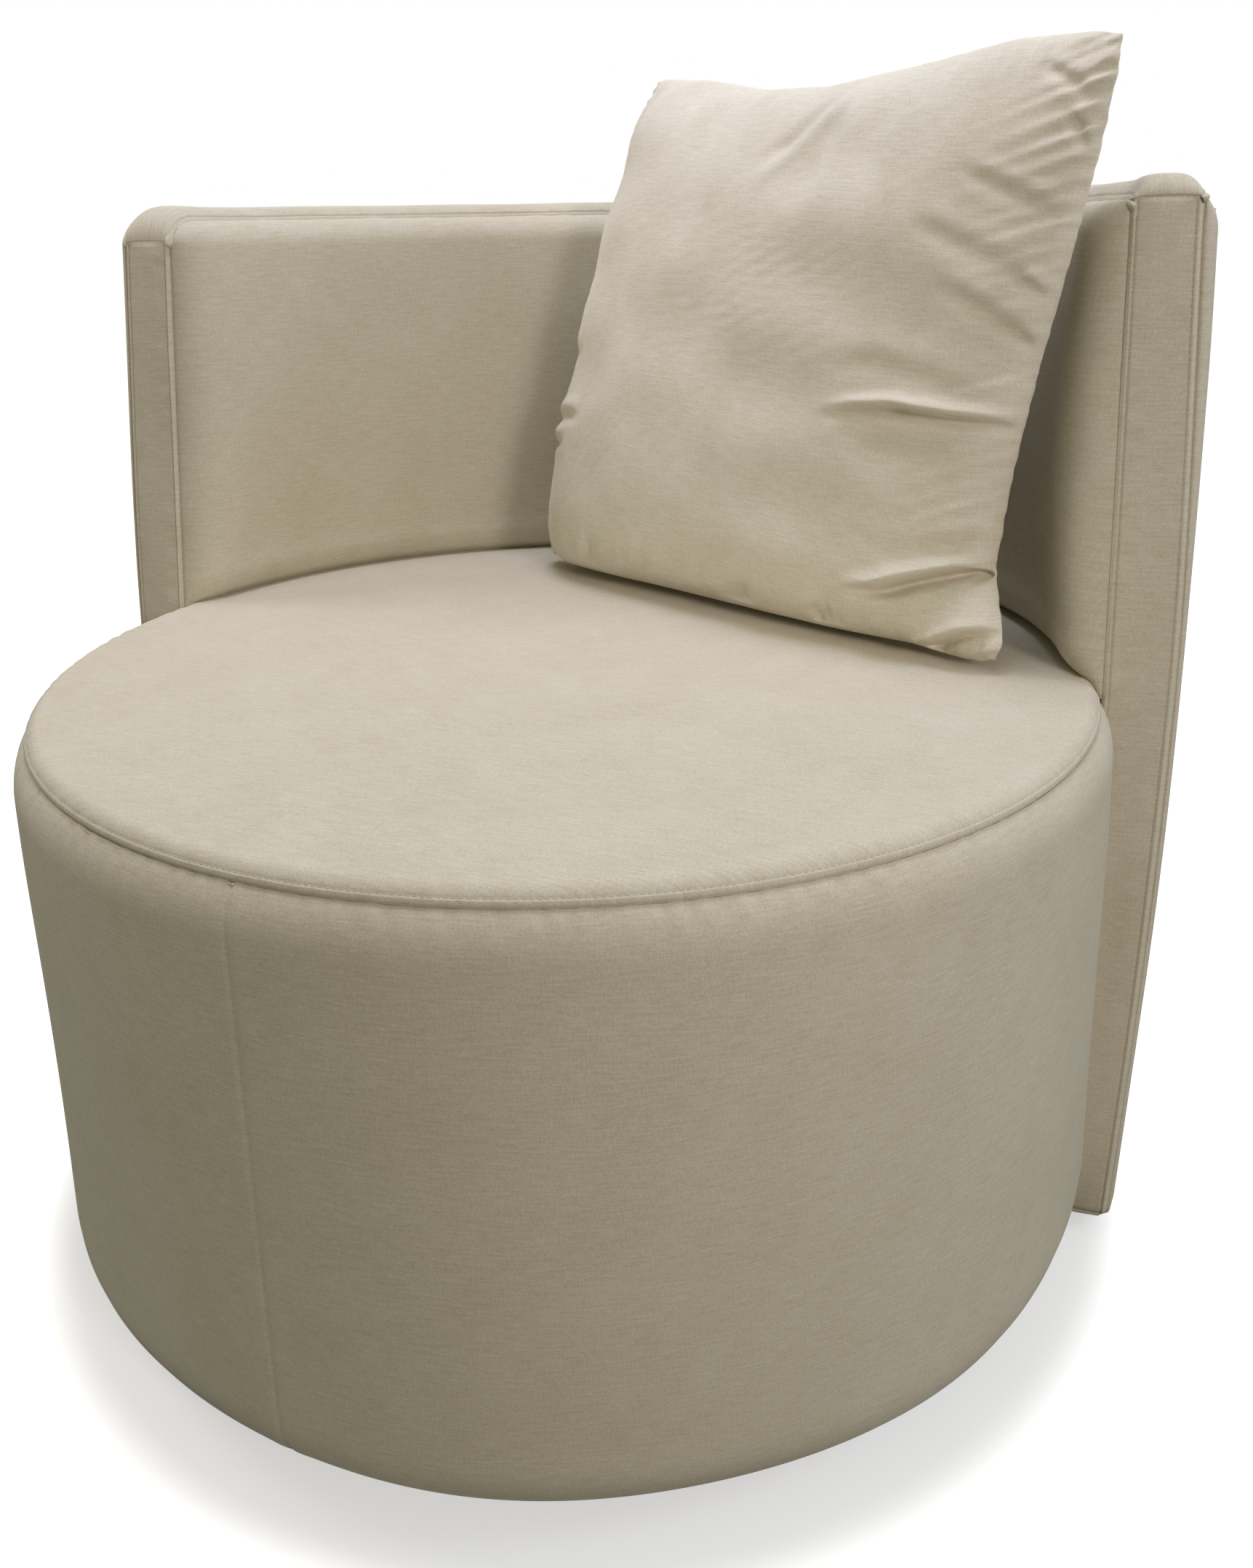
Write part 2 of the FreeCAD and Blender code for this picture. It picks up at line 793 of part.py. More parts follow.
def seat_foam():
    """Crowned foam block that oversails the drum's side foam."""
    inset = fabric + seat_wadding_thickness + 2 * layer_gap
    step = seat_seam_height - seat_foam_step_drop
    waist = seat_radius - seat_foam_setback
    outline = [(0, seat_foam_bottom), (waist, seat_foam_bottom), (waist, step)]
    return turned(face_inside(outline + seat_top_outline(inset, step)), 0, full_turn)


def seat_wadding():
    """Wadding over the foam."""
    step = seat_seam_height - seat_foam_step_drop
    inset = fabric + layer_gap
    face = face_between(seat_top_outline(inset, step),
                        seat_top_outline(inset + seat_wadding_thickness, step))
    return turned(face, 0, full_turn)


def seat_cover():
    """Round of fabric over the seat, down to the seam with the side."""
    face = face_between(seat_top_outline(0, seat_seam_height - layer_gap / 2),
                        seat_top_outline(fabric, seat_seam_height - layer_gap / 2))
    return turned(face, 0, full_turn)


def drum_side_foam():
    """Foam round the front of the drum, from under the foot to the seat wadding."""
    inset = fabric + layer_gap
    clear = side_board + 2 * layer_gap
    top = seat_seam_height - seat_foam_step_drop - layer_gap
    lip = (drum_shoulder_radius - seat_edge_round, top)
    front = drum_side_outline(inset)[1:-1]
    back = [lip, (seat_ring_radius + clear, top), (seat_ring_radius + clear, seat_ring_top),
            (drum_base_radius + clear, side_board_foot - layer_gap)]
    skirt = ring(skirt_inner_radius, drum_base_radius + layer_gap, 0, side_board_foot)
    return drum_layer(face_inside(front + back).cut(skirt).Faces[0])


def drum_side_cover():
    """Fabric round the front of the drum, turned under at its foot."""
    return drum_layer(face_between(drum_side_outline(0), drum_side_outline(fabric)))


def dust_cover():
    """Black cloth under the bottom board, round the bearing."""
    clear = race_radius + lip_thickness * 2
    face = ring(clear, skirt_inner_radius - fabric, board_height - layer_gap - dust_cover_thickness,
                board_height - layer_gap)
    return turned(face, 0, full_turn)


# Back upholstery

def at_front(face, depth):
    """Whether a face lies on the plane at a depth behind the arm fronts."""
    middle = face.CenterOfMass
    return abs(middle.y - front_line(middle.z, depth)) < layer_gap / 2


def wrapped_pad(section):
    """A section of the inner pad, swept round the back, with its ends turned into the arm seams."""
    depth = max(pad_foot_depth, pad_head_depth) + pad_face_bow
    middle = wall_layer(section, depth)
    faces = []
    for face in middle.Faces:
        if not at_front(face, depth):
            faces.append(face)
            continue
        side = 1 if face.CenterOfMass.x > 0 else -1
        low = front_point(side, inner_line(pad_foot_height), pad_foot_height, depth)
        high = front_point(side, inner_line(wall_top_height), wall_top_height, depth)
        end = face.revolve(low, (high - low).normalize(), side * pad_end_swing)
        for side_face in end.Faces:
            if (side_face.CenterOfMass - face.CenterOfMass).Length > layer_gap:
                faces.append(side_face)
    shell = Part.Shell(faces)
    shell.sewShape()
    return Part.Solid(shell)


def back_inner_foam():
    """Foam of the inner pad, clear of the skin behind it."""
    inset = fabric + layer_gap
    outline = pad_outline(inset)
    foot = outline[-1][1]
    outline[-1] = (pad_foot_bulge - inset / 2, foot)
    outline.append((inner_line(foot[1]), foot[1]))
    low = pad_foot_height
    top = wall_top_height
    behind = [(inner_line(low) - pad_back_gap, low), (inner_line(low) + fabric, low),
              (inner_line(top) + fabric, top), (inner_line(top) - pad_back_gap, top)]
    return wrapped_pad(face_inside(outline).cut(face_inside(behind)).Faces[0])


def back_inner_cover():
    """Fabric over the inner pad."""
    return wrapped_pad(face_between(pad_outline(0), pad_outline(fabric)))


def back_outer_wadding():
    """Wadding over the outer skin."""
    inset = fabric + layer_gap
    face = face_between(wall_outside_outline(inset, rail_top)[1:],
                        wall_outside_outline(inset + wadding, rail_top)[1:])
    return wall_layer(face, arm_front_depth)


def back_outer_cover():
    """Fabric over the outside of the back, turned under at its foot."""
    face = face_between(wall_outside_outline(0, wall_top_height),
                        wall_outside_outline(fabric, wall_top_height))
    return wall_layer(face, arm_front_depth)


def top_band_foam():
    """Crowned foam along the top rail."""
    inset = fabric + layer_gap
    foot = rail_top + layer_gap
    crown = wall_crown_outline(inset)
    outline = [(crown[1][1][0], foot), (crown[0][0], foot)] + crown
    return wall_layer(face_inside(outline), arm_front_depth)


def top_band_cover():
    """Strip of fabric along the top, between the inner and outer seams."""
    face = face_between(wall_crown_outline(0), wall_crown_outline(fabric))
    return wall_layer(face, arm_front_depth)


def arm_front_section(inset):
    """Outline of the back's end, from the floor gap to the crown."""
    inside = wall_inner_seat_radius + inset
    outline = wall_outside_outline(inset, wall_top_height)[1:]
    crown = wall_crown_outline(inset)
    return face_inside([(inside, wall_floor_gap + inset)] + outline + crown
                       + [(inside, seat_seam_height)])


def arm_front(inset, near, far, side):
    """A layer of an arm front, between two depths from its face. Side 1 is at +X."""
    start = -back_angle if side > 0 else back_angle
    return turned(arm_front_section(inset), start, start + half_turn).common(front_slab(near, far))


def arm_front_cover(side):
    """Strip of fabric down an arm front."""
    return arm_front(0, 0, fabric, side)


def arm_front_foam(side):
    """Foam behind the arm front's fabric."""
    return arm_front(fabric, fabric + layer_gap, arm_front_depth - layer_gap, side)


# Scatter cushion

def seat_height(radius):
    """Height of the seat's fabric at a radius."""
    edge_radius = seat_radius - seat_edge_round
    edge_height = seat_seam_height + seat_edge_rise
    share = radius / edge_radius
    return seat_centre_height - (seat_centre_height - edge_height) * share ** 2


def cushion_distance():
    """Distance from the swivel axis to the cushion's foot that rests its right edge on the pad."""
    rest_height = wall_top_height - pad_head_round
    rise = rest_height - seat_centre_height
    lean = math.radians(cushion_lean - cushion_lean_change)
    reach = cushion_width / 2 + cushion_shift + cushion_shear * rise / cushion_right_height
    rest_radius = inner_line(rest_height) - pad_head_depth - cushion_pad_gap
    return math.sqrt(rest_radius ** 2 - reach ** 2) - rise * math.sin(lean)


def cushion_point(across, high, proud):
    """Point on the cushion: across from -1 to 1, high from 0 to 1, proud of its middle."""
    turn = math.radians(cushion_turn)
    along = FreeCAD.Vector(math.cos(turn), math.sin(turn), 0)
    behind = FreeCAD.Vector(-math.sin(turn), math.cos(turn), 0)
    lean = math.radians(cushion_lean - cushion_lean_change * across)
    side_share = (1 + across) / 2
    height = cushion_left_height + side_share * (cushion_right_height - cushion_left_height)
    base = along * cushion_shift + behind * cushion_distance()
    base.z = seat_height(base.Length) + cushion_foot_lift
    stand = up * math.cos(lean) + behind * math.sin(lean)
    front = up * math.sin(lean) - behind * math.cos(lean)
    return (base + along * (across * cushion_width / 2 + cushion_shear * high)
            + stand * (height * high) + front * proud)


def cushion_body(inset):
    """Crowned body of the cushion, its sides drawn in between the corners."""
    seam = cushion_seam / 2 - inset / 2
    height = (cushion_left_height + cushion_right_height) / 2
    side = 1 - 2 * inset / cushion_width
    draw = 1 - 2 * cushion_side_draw / cushion_width
    fronts = []
    backs = []
    wires = []
    for index in range(cushion_stations):
        share = 2 * index / (cushion_stations - 1) - 1
        across = share * side
        fullness = (1 - share ** 2) ** cushion_fullness_share
        crown = seam + (cushion_thickness / 2 - cushion_seam / 2 - inset / 2) * fullness
        low = inset / height
        high = 1 - (inset + cushion_top_draw * (1 - share ** 2)) / height
        middle = (low + high) / 2
        corners = [cushion_point(across, low, seam), cushion_point(across, high, seam),
                   cushion_point(across, high, -seam), cushion_point(across, low, -seam)]
        front = Part.Arc(corners[0], cushion_point(across * draw, middle, crown), corners[1])
        back = Part.Arc(corners[2], cushion_point(across * draw, middle, -crown), corners[3])
        fronts.append(front.toShape())
        backs.append(back.toShape())
        head = Part.LineSegment(corners[1], corners[2]).toShape()
        foot = Part.LineSegment(corners[3], corners[0]).toShape()
        wires.append(Part.Wire([fronts[-1], head, backs[-1], foot]))
    sides = Part.makeLoft(wires, False, False)
    faces = list(sides.Faces)
    for end in (0, -1):
        mirrored = Part.Arc(backs[end].Vertexes[1].Point,
                            backs[end].valueAt((backs[end].FirstParameter
                                                + backs[end].LastParameter) / 2),
                            backs[end].Vertexes[0].Point).toShape()
        faces.append(Part.makeRuledSurface(fronts[end], mirrored))
    shell = Part.makeShell(faces)
    shell.sewShape()
    body = Part.Solid(Part.Shell(shell.Faces))
    if body.Volume < 0:
        body.reverse()
    return body


def cushion_insert():
    """Feather-filled inner cushion."""
    return cushion_body(fabric + layer_gap)


def cushion_cover():
    """Fabric case round the inner cushion."""
    return cushion_body(0).cut(cushion_body(fabric))


def main():
    """Build and write every node."""
    os.makedirs("parts", exist_ok=True)
    keep("base_plinth", base_plinth())
    keep("floor_glides", floor_glides())
    keep("swivel_lower_race", swivel_lower_race())
    keep("lower_race_screws", screws(lower_race_screw_places()))
    keep("ball_retainer", ball_retainer())
    keep("bearing_balls", bearing_balls())
    keep("swivel_upper_race", swivel_upper_race())
    keep("upper_race_screws", screws(upper_race_screw_places()))
    keep("bottom_board", bottom_board())
    keep("skirt_segments", skirt_segments())
    keep("skirt_screws", screws(skirt_screw_places()))
    for index, angle in enumerate(post_angles):
        keep("seat_post_%d" % (index + 1), seat_post(angle))
    keep("post_screws", screws(post_screw_places()))
    keep("seat_ring", seat_ring())
    for index in range(spring_count):
        keep("seat_spring_%d" % (index + 1), seat_spring(index))
    keep("spring_clips", spring_clips())
    keep("spring_felt", spring_felt())
    keep("seat_foam", seat_foam())
    keep("seat_wadding", seat_wadding())
    keep("seat_cover", seat_cover())
    keep("drum_side_board", drum_side_board())
    keep("drum_side_foam", drum_side_foam())
    keep("drum_side_cover", drum_side_cover())
    keep("dust_cover", dust_cover())
    for index in range(rib_count):
        keep("back_rib_%d" % (index + 1), back_rib(index))
    keep("rib_foot_screws", screws(rib_foot_screw_places()))
    keep("rib_bolts", bolts(rib_bolt_places()))
    keep("back_top_rail", back_top_rail())
    keep("top_rail_screws", screws(top_rail_screw_places()))
    keep("back_inner_skin", back_inner_skin())
    keep("back_outer_skin", back_outer_skin())
    keep("back_inner_foam", back_inner_foam())
    keep("back_inner_cover", back_inner_cover())
    keep("back_outer_wadding", back_outer_wadding())
    keep("back_outer_cover", back_outer_cover())
    keep("top_band_foam", top_band_foam())
    keep("top_band_cover", top_band_cover())
    keep("arm_front_foam_right", arm_front_foam(1))
    keep("arm_front_foam_left", arm_front_foam(-1))
    keep("arm_front_cover_right", arm_front_cover(1))
    keep("arm_front_cover_left", arm_front_cover(-1))
    keep("cushion_insert", cushion_insert())
    keep("cushion_cover", cushion_cover())


main()
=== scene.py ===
"""Swivel barrel armchair: its visible cloth, materials, light and camera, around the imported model."""
import json
import math

import bpy
import numpy as np
from mathutils import Matrix, Vector

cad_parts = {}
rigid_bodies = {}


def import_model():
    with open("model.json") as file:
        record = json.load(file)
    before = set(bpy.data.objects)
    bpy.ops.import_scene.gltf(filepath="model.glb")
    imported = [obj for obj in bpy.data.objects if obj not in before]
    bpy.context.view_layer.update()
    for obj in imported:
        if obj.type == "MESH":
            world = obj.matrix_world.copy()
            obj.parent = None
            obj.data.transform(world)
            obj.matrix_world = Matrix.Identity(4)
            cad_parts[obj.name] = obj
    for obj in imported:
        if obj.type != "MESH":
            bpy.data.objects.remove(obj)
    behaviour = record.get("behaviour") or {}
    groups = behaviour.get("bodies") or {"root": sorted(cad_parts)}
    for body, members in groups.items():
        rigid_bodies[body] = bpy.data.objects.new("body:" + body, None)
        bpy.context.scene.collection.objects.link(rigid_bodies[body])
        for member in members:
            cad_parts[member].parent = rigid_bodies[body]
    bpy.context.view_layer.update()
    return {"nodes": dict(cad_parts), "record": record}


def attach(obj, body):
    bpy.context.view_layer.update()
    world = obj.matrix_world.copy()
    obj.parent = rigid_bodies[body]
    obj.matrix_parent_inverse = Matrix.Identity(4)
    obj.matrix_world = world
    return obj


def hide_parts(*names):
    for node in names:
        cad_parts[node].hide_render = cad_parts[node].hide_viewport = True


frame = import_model()

# Seat and drum, in metres
seat_radius = 0.390
seat_seam_height = 0.435
seat_edge_round = 0.012
seat_edge_rise = 0.010
seat_crown_rise = 0.010
seat_edge_height = seat_seam_height + seat_edge_rise
seat_centre_height = seat_edge_height + seat_crown_rise
drum_shoulder_radius = seat_radius + 0.012
drum_shoulder_drop = 0.030
drum_shoulder_bulge = 0.0027
drum_foot_radius = drum_shoulder_radius + 0.018
drum_foot_round = 0.054
drum_hem_width = 0.022
drum_floor_gap = 0.016
seat_hole_radius = 0.006

# Upright seam of the drum: depth and half width of its groove; height, distance and half width of
# the swells beside it; and how far up from the hem it begins
drum_seam_angle = math.radians(-95)
drum_seam_groove = (0.0008, 0.0016)
drum_seam_swell = (0.0003, 0.008, 0.006)
drum_seam_start = 0.02

# Back
arm_front_setback = 0.045
arm_front_lean = math.radians(4.9)
wall_top_height = 0.758
wall_crown = 0.0125
wall_inner_seat_radius = seat_radius + 0.002
wall_inner_lean = 0.017
wall_inner_top_radius = wall_inner_seat_radius - wall_inner_lean
wall_outer_top_radius = wall_inner_top_radius + 0.056
wall_outer_lean = 0.018
wall_outer_foot_radius = wall_outer_top_radius + wall_outer_lean
wall_outer_bow = 0.007
wall_foot_round = 0.010
wall_floor_gap = 0.014
wall_hem_width = 0.026
front_hem_width = 0.018
outer_roll = 0.011
outer_roll_low = 0.005
outer_roll_width = 0.018
outer_roll_bulge = 0.0030

# Inner pad
pad_foot_height = seat_seam_height + 0.011
pad_foot_setback = 0.008
pad_foot_depth = 0.024
pad_foot_round = 0.032
pad_foot_bulge = 0.007
pad_head_depth = 0.022
pad_head_round = 0.018
pad_head_bulge = 0.0062
pad_face_bow = 0.004
pad_end_round = 0.030
pad_edge_bulge = 0.001
pad_tuck = 0.0020
pad_upright = (0.75, 0.30)

# Arm fronts and the crown's rounded ends; pairs are for the right and the left arm
arm_front_crown = 0.004
arm_front_swell = 0.5
crown_end_round = (0.014, 0.024)
crown_end_bulge = (0.0045, 0.0008)
crown_end_reach = 0.035
crown_end_swell = 0.7
crown_end_pace = 1.5
crown_end_drop = 0.002
outer_seam_rise = 0.004
outer_seam_radius = wall_outer_top_radius - outer_roll
outer_seam_height = wall_top_height + outer_seam_rise
band_width = outer_seam_radius - wall_inner_top_radius
crown_squareness = 2.6
crown_edge_share = 0.55
cross_seam_rise = (0.0012, -0.016)
cross_seam_arch = 0.003
front_top_zone = 0.03
front_stretch_zone = 0.04
front_edge_fade = 0.004
front_seam_fade = 0.005
front_cloth_fade = 0.012
front_top_drop = 0.001

# Seams: the folded allowance makes a ridge as wide as the topstitching's distance
fabric = 0.0018
cloth_gap = 0.0003
seam_tuck = 0.003
tuck_length = seam_tuck * math.sqrt(2)
seam_depth = 0.0007
outer_seam_depth = 0.0001
outer_ridge_height = 0.0003
seam_half_width = 0.0007
ridge_width = 0.0052
ridge_height = 0.0008
ridge_rise = 0.0016
ridge_fall = 0.0012
beyond_swell = 0.0010
beyond_swell_start = 0.012
beyond_swell_length = 0.05
plain_fall = 0.0008
plain_fall_length = 0.003
stitch_depth = 0.0011
rim_stitch_depth = 0.0002
rim_ridge_height = 0.0005
stitch_half_width = 0.0008
stitch_length = 0.0030
stitch_spacing = 0.0040
thread_radius = 0.00030
thread_sides = 4
thread_rings = ((-0.5, 0.35), (-0.38, 1), (0.38, 1), (0.5, 0.35))
thread_lean = (0.3, 0.4, 0.86)

# Grids: columns round each piece, without those at rounded ends, and the longest step of its rows
seat_grid = (900, 0.012)
drum_grid = (760, 0.010)
pad_grid = (560, 0.008)
band_grid = (620, 0.004)
outer_grid = (480, 0.012)
front_rows = (150, 36)
front_bare_rows = 6
hem_rows = 8
crown_points = 60
finest_step = 0.0006
front_step = 0.007
step_growth = 0.10

# Columns at the arm fronts: how deep the tucked ones are behind the front plane, and how many follow
tucked_depth = 0.004
pad_tucked = (tucked_depth, 0.0015)
outer_tucked = (tucked_depth, 0.0010)
outer_near_tuck = 0.001
pad_end_columns = 26
band_end_columns = 18
outer_end_columns = 14
outer_end_fade = 0.03

# Puckers along seams: height, distance from the seam, half width, length and seed
seat_puckers = (0.0005, 0.006, 0.008, 0.016, 3)
drum_puckers = (0.0004, 0.006, 0.007, 0.018, 7)
pad_puckers = (0.0005, 0.009, 0.009, 0.022, 13)
band_outer_puckers = (0.0004, 0.010, 0.006, 0.020, 19)
band_inner_puckers = (0.0004, 0.010, 0.006, 0.020, 23)
front_outer_puckers = (0.0004, 0.010, 0.006, 0.030, 37)
front_inner_puckers = (0.0004, 0.010, 0.006, 0.022, 41)

# Unevenness of padded cloth: height, lengths and seed, and the distances between which it grows
seat_swells = (0.0012, (0.25, 0.25), 5), (0.01, 0.08)
drum_swells = (0.0016, (0.22, 0.5), 11), (0.01, 0.10)
pad_swells = (0.0022, (0.34, 0.5), 17), (0.02, 0.12)
outer_swells = (0.0014, (0.4, 0.6), 31), (0.01, 0.12)
band_waves = (0.0008, (0.14, 1), 29)
front_waves = (0.0008, (0.2, 1), 43)

# Scatter cushion: the places of its corners from low left round to top left, how it is rounded there,
# how full it is in front and behind, how it settles, and how far its sides stand off the lines between
# the corners, in shares. Pairs are for left and right, or for low and top
cushion_corners = [(-0.125, 0.260, 0.4555), (0.318, 0.055, 0.4555),
                   (0.356, 0.061, 0.855), (-0.045, 0.358, 0.870)]
cushion_width = 0.488
cushion_height = 0.418
cushion_cells = (84, 72)
cushion_corner_round = (0.006, 0.018, 0.006, 0.006)
cushion_corner_zone = (0.90, 0.88)
cushion_evenness = 0.6
cushion_fall = (4.2, 2.5)
cushion_tall_fall = (5.2, 2.8)
cushion_edge = 0.58
cushion_full = 1.076
cushion_top_loss = 0.16
cushion_side_loss = 0.06
cushion_behind_fall = 2.4
cushion_behind_edge = 0.85
cushion_ear = (0.030, 0.013, 0.018)
cushion_ear_zone = (0.86, 0.15, 0.05)
cushion_front = 0.086
cushion_behind = 0.056
cushion_slack = 0.93
cushion_sag = 0.42
cushion_contact = 0.045
cushion_rest_zone = (0.22, 0.10)
cushion_reach = 0.014
cushion_growth = (0.25, 0.75)
growth_across = (0.45, 0.9)
growth_high = (1.0, 0.5)
cushion_behind_growth = 0.2
cloth_frames = 26
cloth_settings = {"quality": 6, "mass": 0.30, "tension_stiffness": 40, "compression_stiffness": 40,
                  "shear_stiffness": 12, "bending_stiffness": 0.12, "air_damping": 3,
                  "use_pressure": True, "uniform_pressure_force": 2.4, "shrink_min": 0,
                  "shrink_max": -0.08}
cushion_left_side = [0, 0.004, 0.006, 0.006, 0.005, 0.003, 0]
cushion_right_side = [0, -0.036, -0.038, -0.030, -0.016, -0.004, 0]
cushion_low_side = [0, 0.010, 0.016, 0.018, 0.016, 0.010, 0]
cushion_top_side = [0, -0.014, -0.042, -0.046, -0.024, 0.002, 0]

# Waves in its front: height, lengths and seed, with the middle and half width of the crushed ones
cushion_broad = (0.0022, (0.11, 0.09), 71)
cushion_crushed = (0.00035, (0.030, 0.0055), 73)
crushed_across = (0.55, 0.22)
crushed_high = (0.58, 0.16)

# Puckers at its right, left, low and top side: height, slant and seed; how fast they rise and fall
# with the distance from it, and their length; and the same of the scalloped right edge
cushion_puckers = ((0.0034, 0.5, 51), (0.0014, 0, 53), (0.0020, 0, 57), (0.0014, 0, 59))
cushion_pucker_size = (0.003, 0.019, 0.011)
cushion_scallop = (0.0012, 0.006, 0.013, 61)

# Its creases: their line, depth, half width and the share of the ridge beside them
crease_room = 0.018
crease_margin = 0.008
crease_end = 0.35
crease_ridge = (1.8, 1.2)
cushion_creases = [
    ([(0.70, 0.385), (0.773, 0.405), (0.826, 0.414), (0.892, 0.409), (1.05, 0.402)], 0.0120, 0.0036, 0.9),
    ([(0.70, 0.470), (0.78, 0.485), (0.86, 0.470), (0.93, 0.440)], 0.0022, 0.0080, 0.7),
    ([(0.76, 0.340), (0.84, 0.350), (0.92, 0.340)], 0.0025, 0.0100, 0.8),
    ([(0.60, 0.975), (0.57, 0.905), (0.524, 0.834), (0.46, 0.78)], 0.0050, 0.0075, 0.7),
    ([(0.60, 0.930), (0.61, 0.820), (0.58, 0.700)], 0.0035, 0.0140, 0.4),
    ([(0.70, 0.950), (0.68, 0.840), (0.70, 0.760)], 0.0022, 0.0120, 0.4),
    ([(0.77, 0.085), (0.83, 0.098), (0.88, 0.125), (0.94, 0.150), (1.06, 0.150)], 0.0260, 0.0042, 0.7),
    ([(0.84, 0.175), (0.92, 0.200), (0.98, 0.215)], 0.0030, 0.0060, 0.6),
    ([(0.87, -0.020), (0.93, 0.020), (0.965, 0.045), (1.05, 0.075)], 0.0120, 0.0038, 0.8),
    ([(0.93, 0.655), (0.96, 0.625), (0.992, 0.592)], 0.0050, 0.0038, 0.6),
    ([(0.94, 0.560), (0.97, 0.530), (0.992, 0.500)], 0.0050, 0.0038, 0.6),
    ([(0.84, 0.630), (0.90, 0.595), (0.95, 0.555), (0.985, 0.525)], 0.0040, 0.0055, 0.6),
    ([(0.79, 0.720), (0.88, 0.680), (0.96, 0.645)], 0.0028, 0.0065, 0.5),
    ([(0.84, 0.800), (0.92, 0.765), (0.985, 0.730)], 0.0030, 0.0050, 0.6),
    ([(0.955, 0.895), (0.978, 0.855), (0.998, 0.815)], 0.0040, 0.0032, 0.5),
    ([(0.90, 0.955), (0.95, 0.930), (0.99, 0.900)], 0.0030, 0.0040, 0.5),
    ([(0.00, 0.275), (0.08, 0.300), (0.17, 0.303)], 0.0050, 0.0050, 0.5),
    ([(0.00, 0.225), (0.06, 0.245), (0.12, 0.249)], 0.0050, 0.0045, 0.5),
    ([(0.00, 0.420), (0.06, 0.430), (0.12, 0.425)], 0.0025, 0.0060, 0.5),
    ([(0.18, -0.01), (0.21, 0.030), (0.23, 0.080)], 0.0045, 0.0055, 0.5),
    ([(0.33, -0.01), (0.35, 0.030), (0.38, 0.070)], 0.0045, 0.0050, 0.5),
    ([(0.55, -0.01), (0.57, 0.030), (0.61, 0.060)], 0.0040, 0.0055, 0.5),
    ([(0.72, -0.01), (0.73, 0.030), (0.76, 0.060)], 0.0050, 0.0055, 0.5),
]

# Floor, fill and lamps
floor_bounce = (0.12, 0.12, 0.12, 1)
floor_seen = (0.55, 0.55, 0.55, 1)
# The floor's camera glow near the chair's foot, and the distances from the chair's axis between which it
# rises to white: a painted shadow ring, inside which the lamps' shadow shows
glow_in_painted_shadow = 0.50
painted_shadow_fade_start = 0.425
painted_shadow_fade_end = 0.48
floor_reach = 60
floor_roughness = 0.9
world_fill = (0.94, 0.99, 0.68, 1)
world_strength = 0.283
lamp_aim = (0, 0.1, 0.45)

# Each lamp: name, place, size, power and colour
lamps = (
    ("overhead", (0.0, 0.1, 2.1), 0.7, 16.6, (0.77, 0.79, 1.0)),
    ("right", (1.9, 0.1, 1.3), 0.6, 8.8, (0.68, 0.76, 1.0)),
    ("right_front", (1.5, -1.4, 1.2), 0.4, 12.8, (1.0, 0.89, 0.88)),
    ("left", (-1.7, -0.2, 1.5), 0.8, 10.8, (1.0, 0.88, 0.94)),
    ("behind", (0.2, 2.3, 1.0), 1.4, 12, (1.0, 0.88, 0.95)),
)

# Camera, fitted to the photograph
camera_place = (0.377146, -0.897494, 0.750321)
camera_target = (-0.042989, 0.240396, 0.234)
camera_roll = -0.0189
camera_lens = 30.1464
camera_sensor = 36
camera_near = 0.01

# Cloth: how fine its slubs and threads are across and along; the scale, detail and roughness of each
# noise in it; and its surface
slub_scale = (55, 620, 1)
warp_scale = (900, 130, 1)
slub_noise = (1, 3, 0.55)
warp_noise = (1, 2, 0.55)
nap_noise = (17, 4, 0.6)
grain_noise = (800, 3, 0.7)
warp_share = 0.5
grain_share = 1.5
cloth_dark_end = (1.15, 0.35)
cloth_light_end = (1.85, 0.65)
cloth_relief = (0.55, 0.00022)
cloth_surface = {"Roughness": 0.88, "Specular IOR Level": 0.18, "Sheen Weight": 0.22,
                 "Sheen Roughness": 0.45, "Sheen Tint": (1, 0.96, 0.88, 1)}

# Slots that CAD nodes show: light and dark tone, scale of the grain, and what else is their own
plain_relief = 0.5
steel = {"metal": 1.0, "depth": 0.00005}
slot_looks = {
    "cushion_filling": ((232, 230, 222), (214, 211, 200), 300, {}),
    "black_lining": ((46, 46, 46), (32, 32, 33), 900, {"roughness": 0.9}),
    "spring_felt": ((150, 147, 142), (98, 97, 98), 500, {"roughness": 0.95, "depth": 0.0006}),
    "white_wadding": ((236, 235, 230), (222, 221, 214), 220, {"roughness": 0.95, "depth": 0.001}),
    "foam": ((232, 220, 176), (218, 203, 152), 800, {"roughness": 0.95}),
    "zinc_steel": ((190, 192, 194), (160, 163, 166), 120, {**steel, "roughness": 0.38}),
    "spring_steel": ((120, 122, 126), (92, 94, 98), 160, {**steel, "roughness": 0.35}),
    "race_steel": ((176, 178, 180), (150, 152, 156), 90, {**steel, "roughness": 0.42}),
    "polished_steel": ((205, 206, 208), (190, 191, 194), 60,
                       {"metal": 1.0, "depth": 0.00002, "roughness": 0.15}),
    "black_plastic": ((40, 40, 42), (30, 30, 32), 700, {"roughness": 0.5}),
    "glide_plastic": ((58, 57, 55), (44, 43, 42), 500, {"roughness": 0.55}),
    "skin_board": ((186, 160, 122), (160, 134, 98), 60, {"roughness": 0.75}),
    "plywood": ((214, 186, 140), (184, 152, 106), 9, {"roughness": 0.65, "stretch": (1, 9, 9)}),
}

quarter_bulge_share = (math.sqrt(2) - 1) / math.sqrt(2)
half_turn = math.pi
full_turn = 2 * math.pi
ripple_pace = (0.6, 1.5)

# Lines of topstitching, which the pieces leave for the threads
stitch_lines = []


# Shapes of one line

def smooth(low, high, value):
    """0 below low, 1 above high, and a smooth step between them."""
    share = np.clip((value - low) / (high - low), 0, 1)
    return share * share * (3 - 2 * share)


def bump(value, half_width):
    """A smooth bell, 1 where the value is 0."""
    return np.exp(-(value / half_width) ** 2)


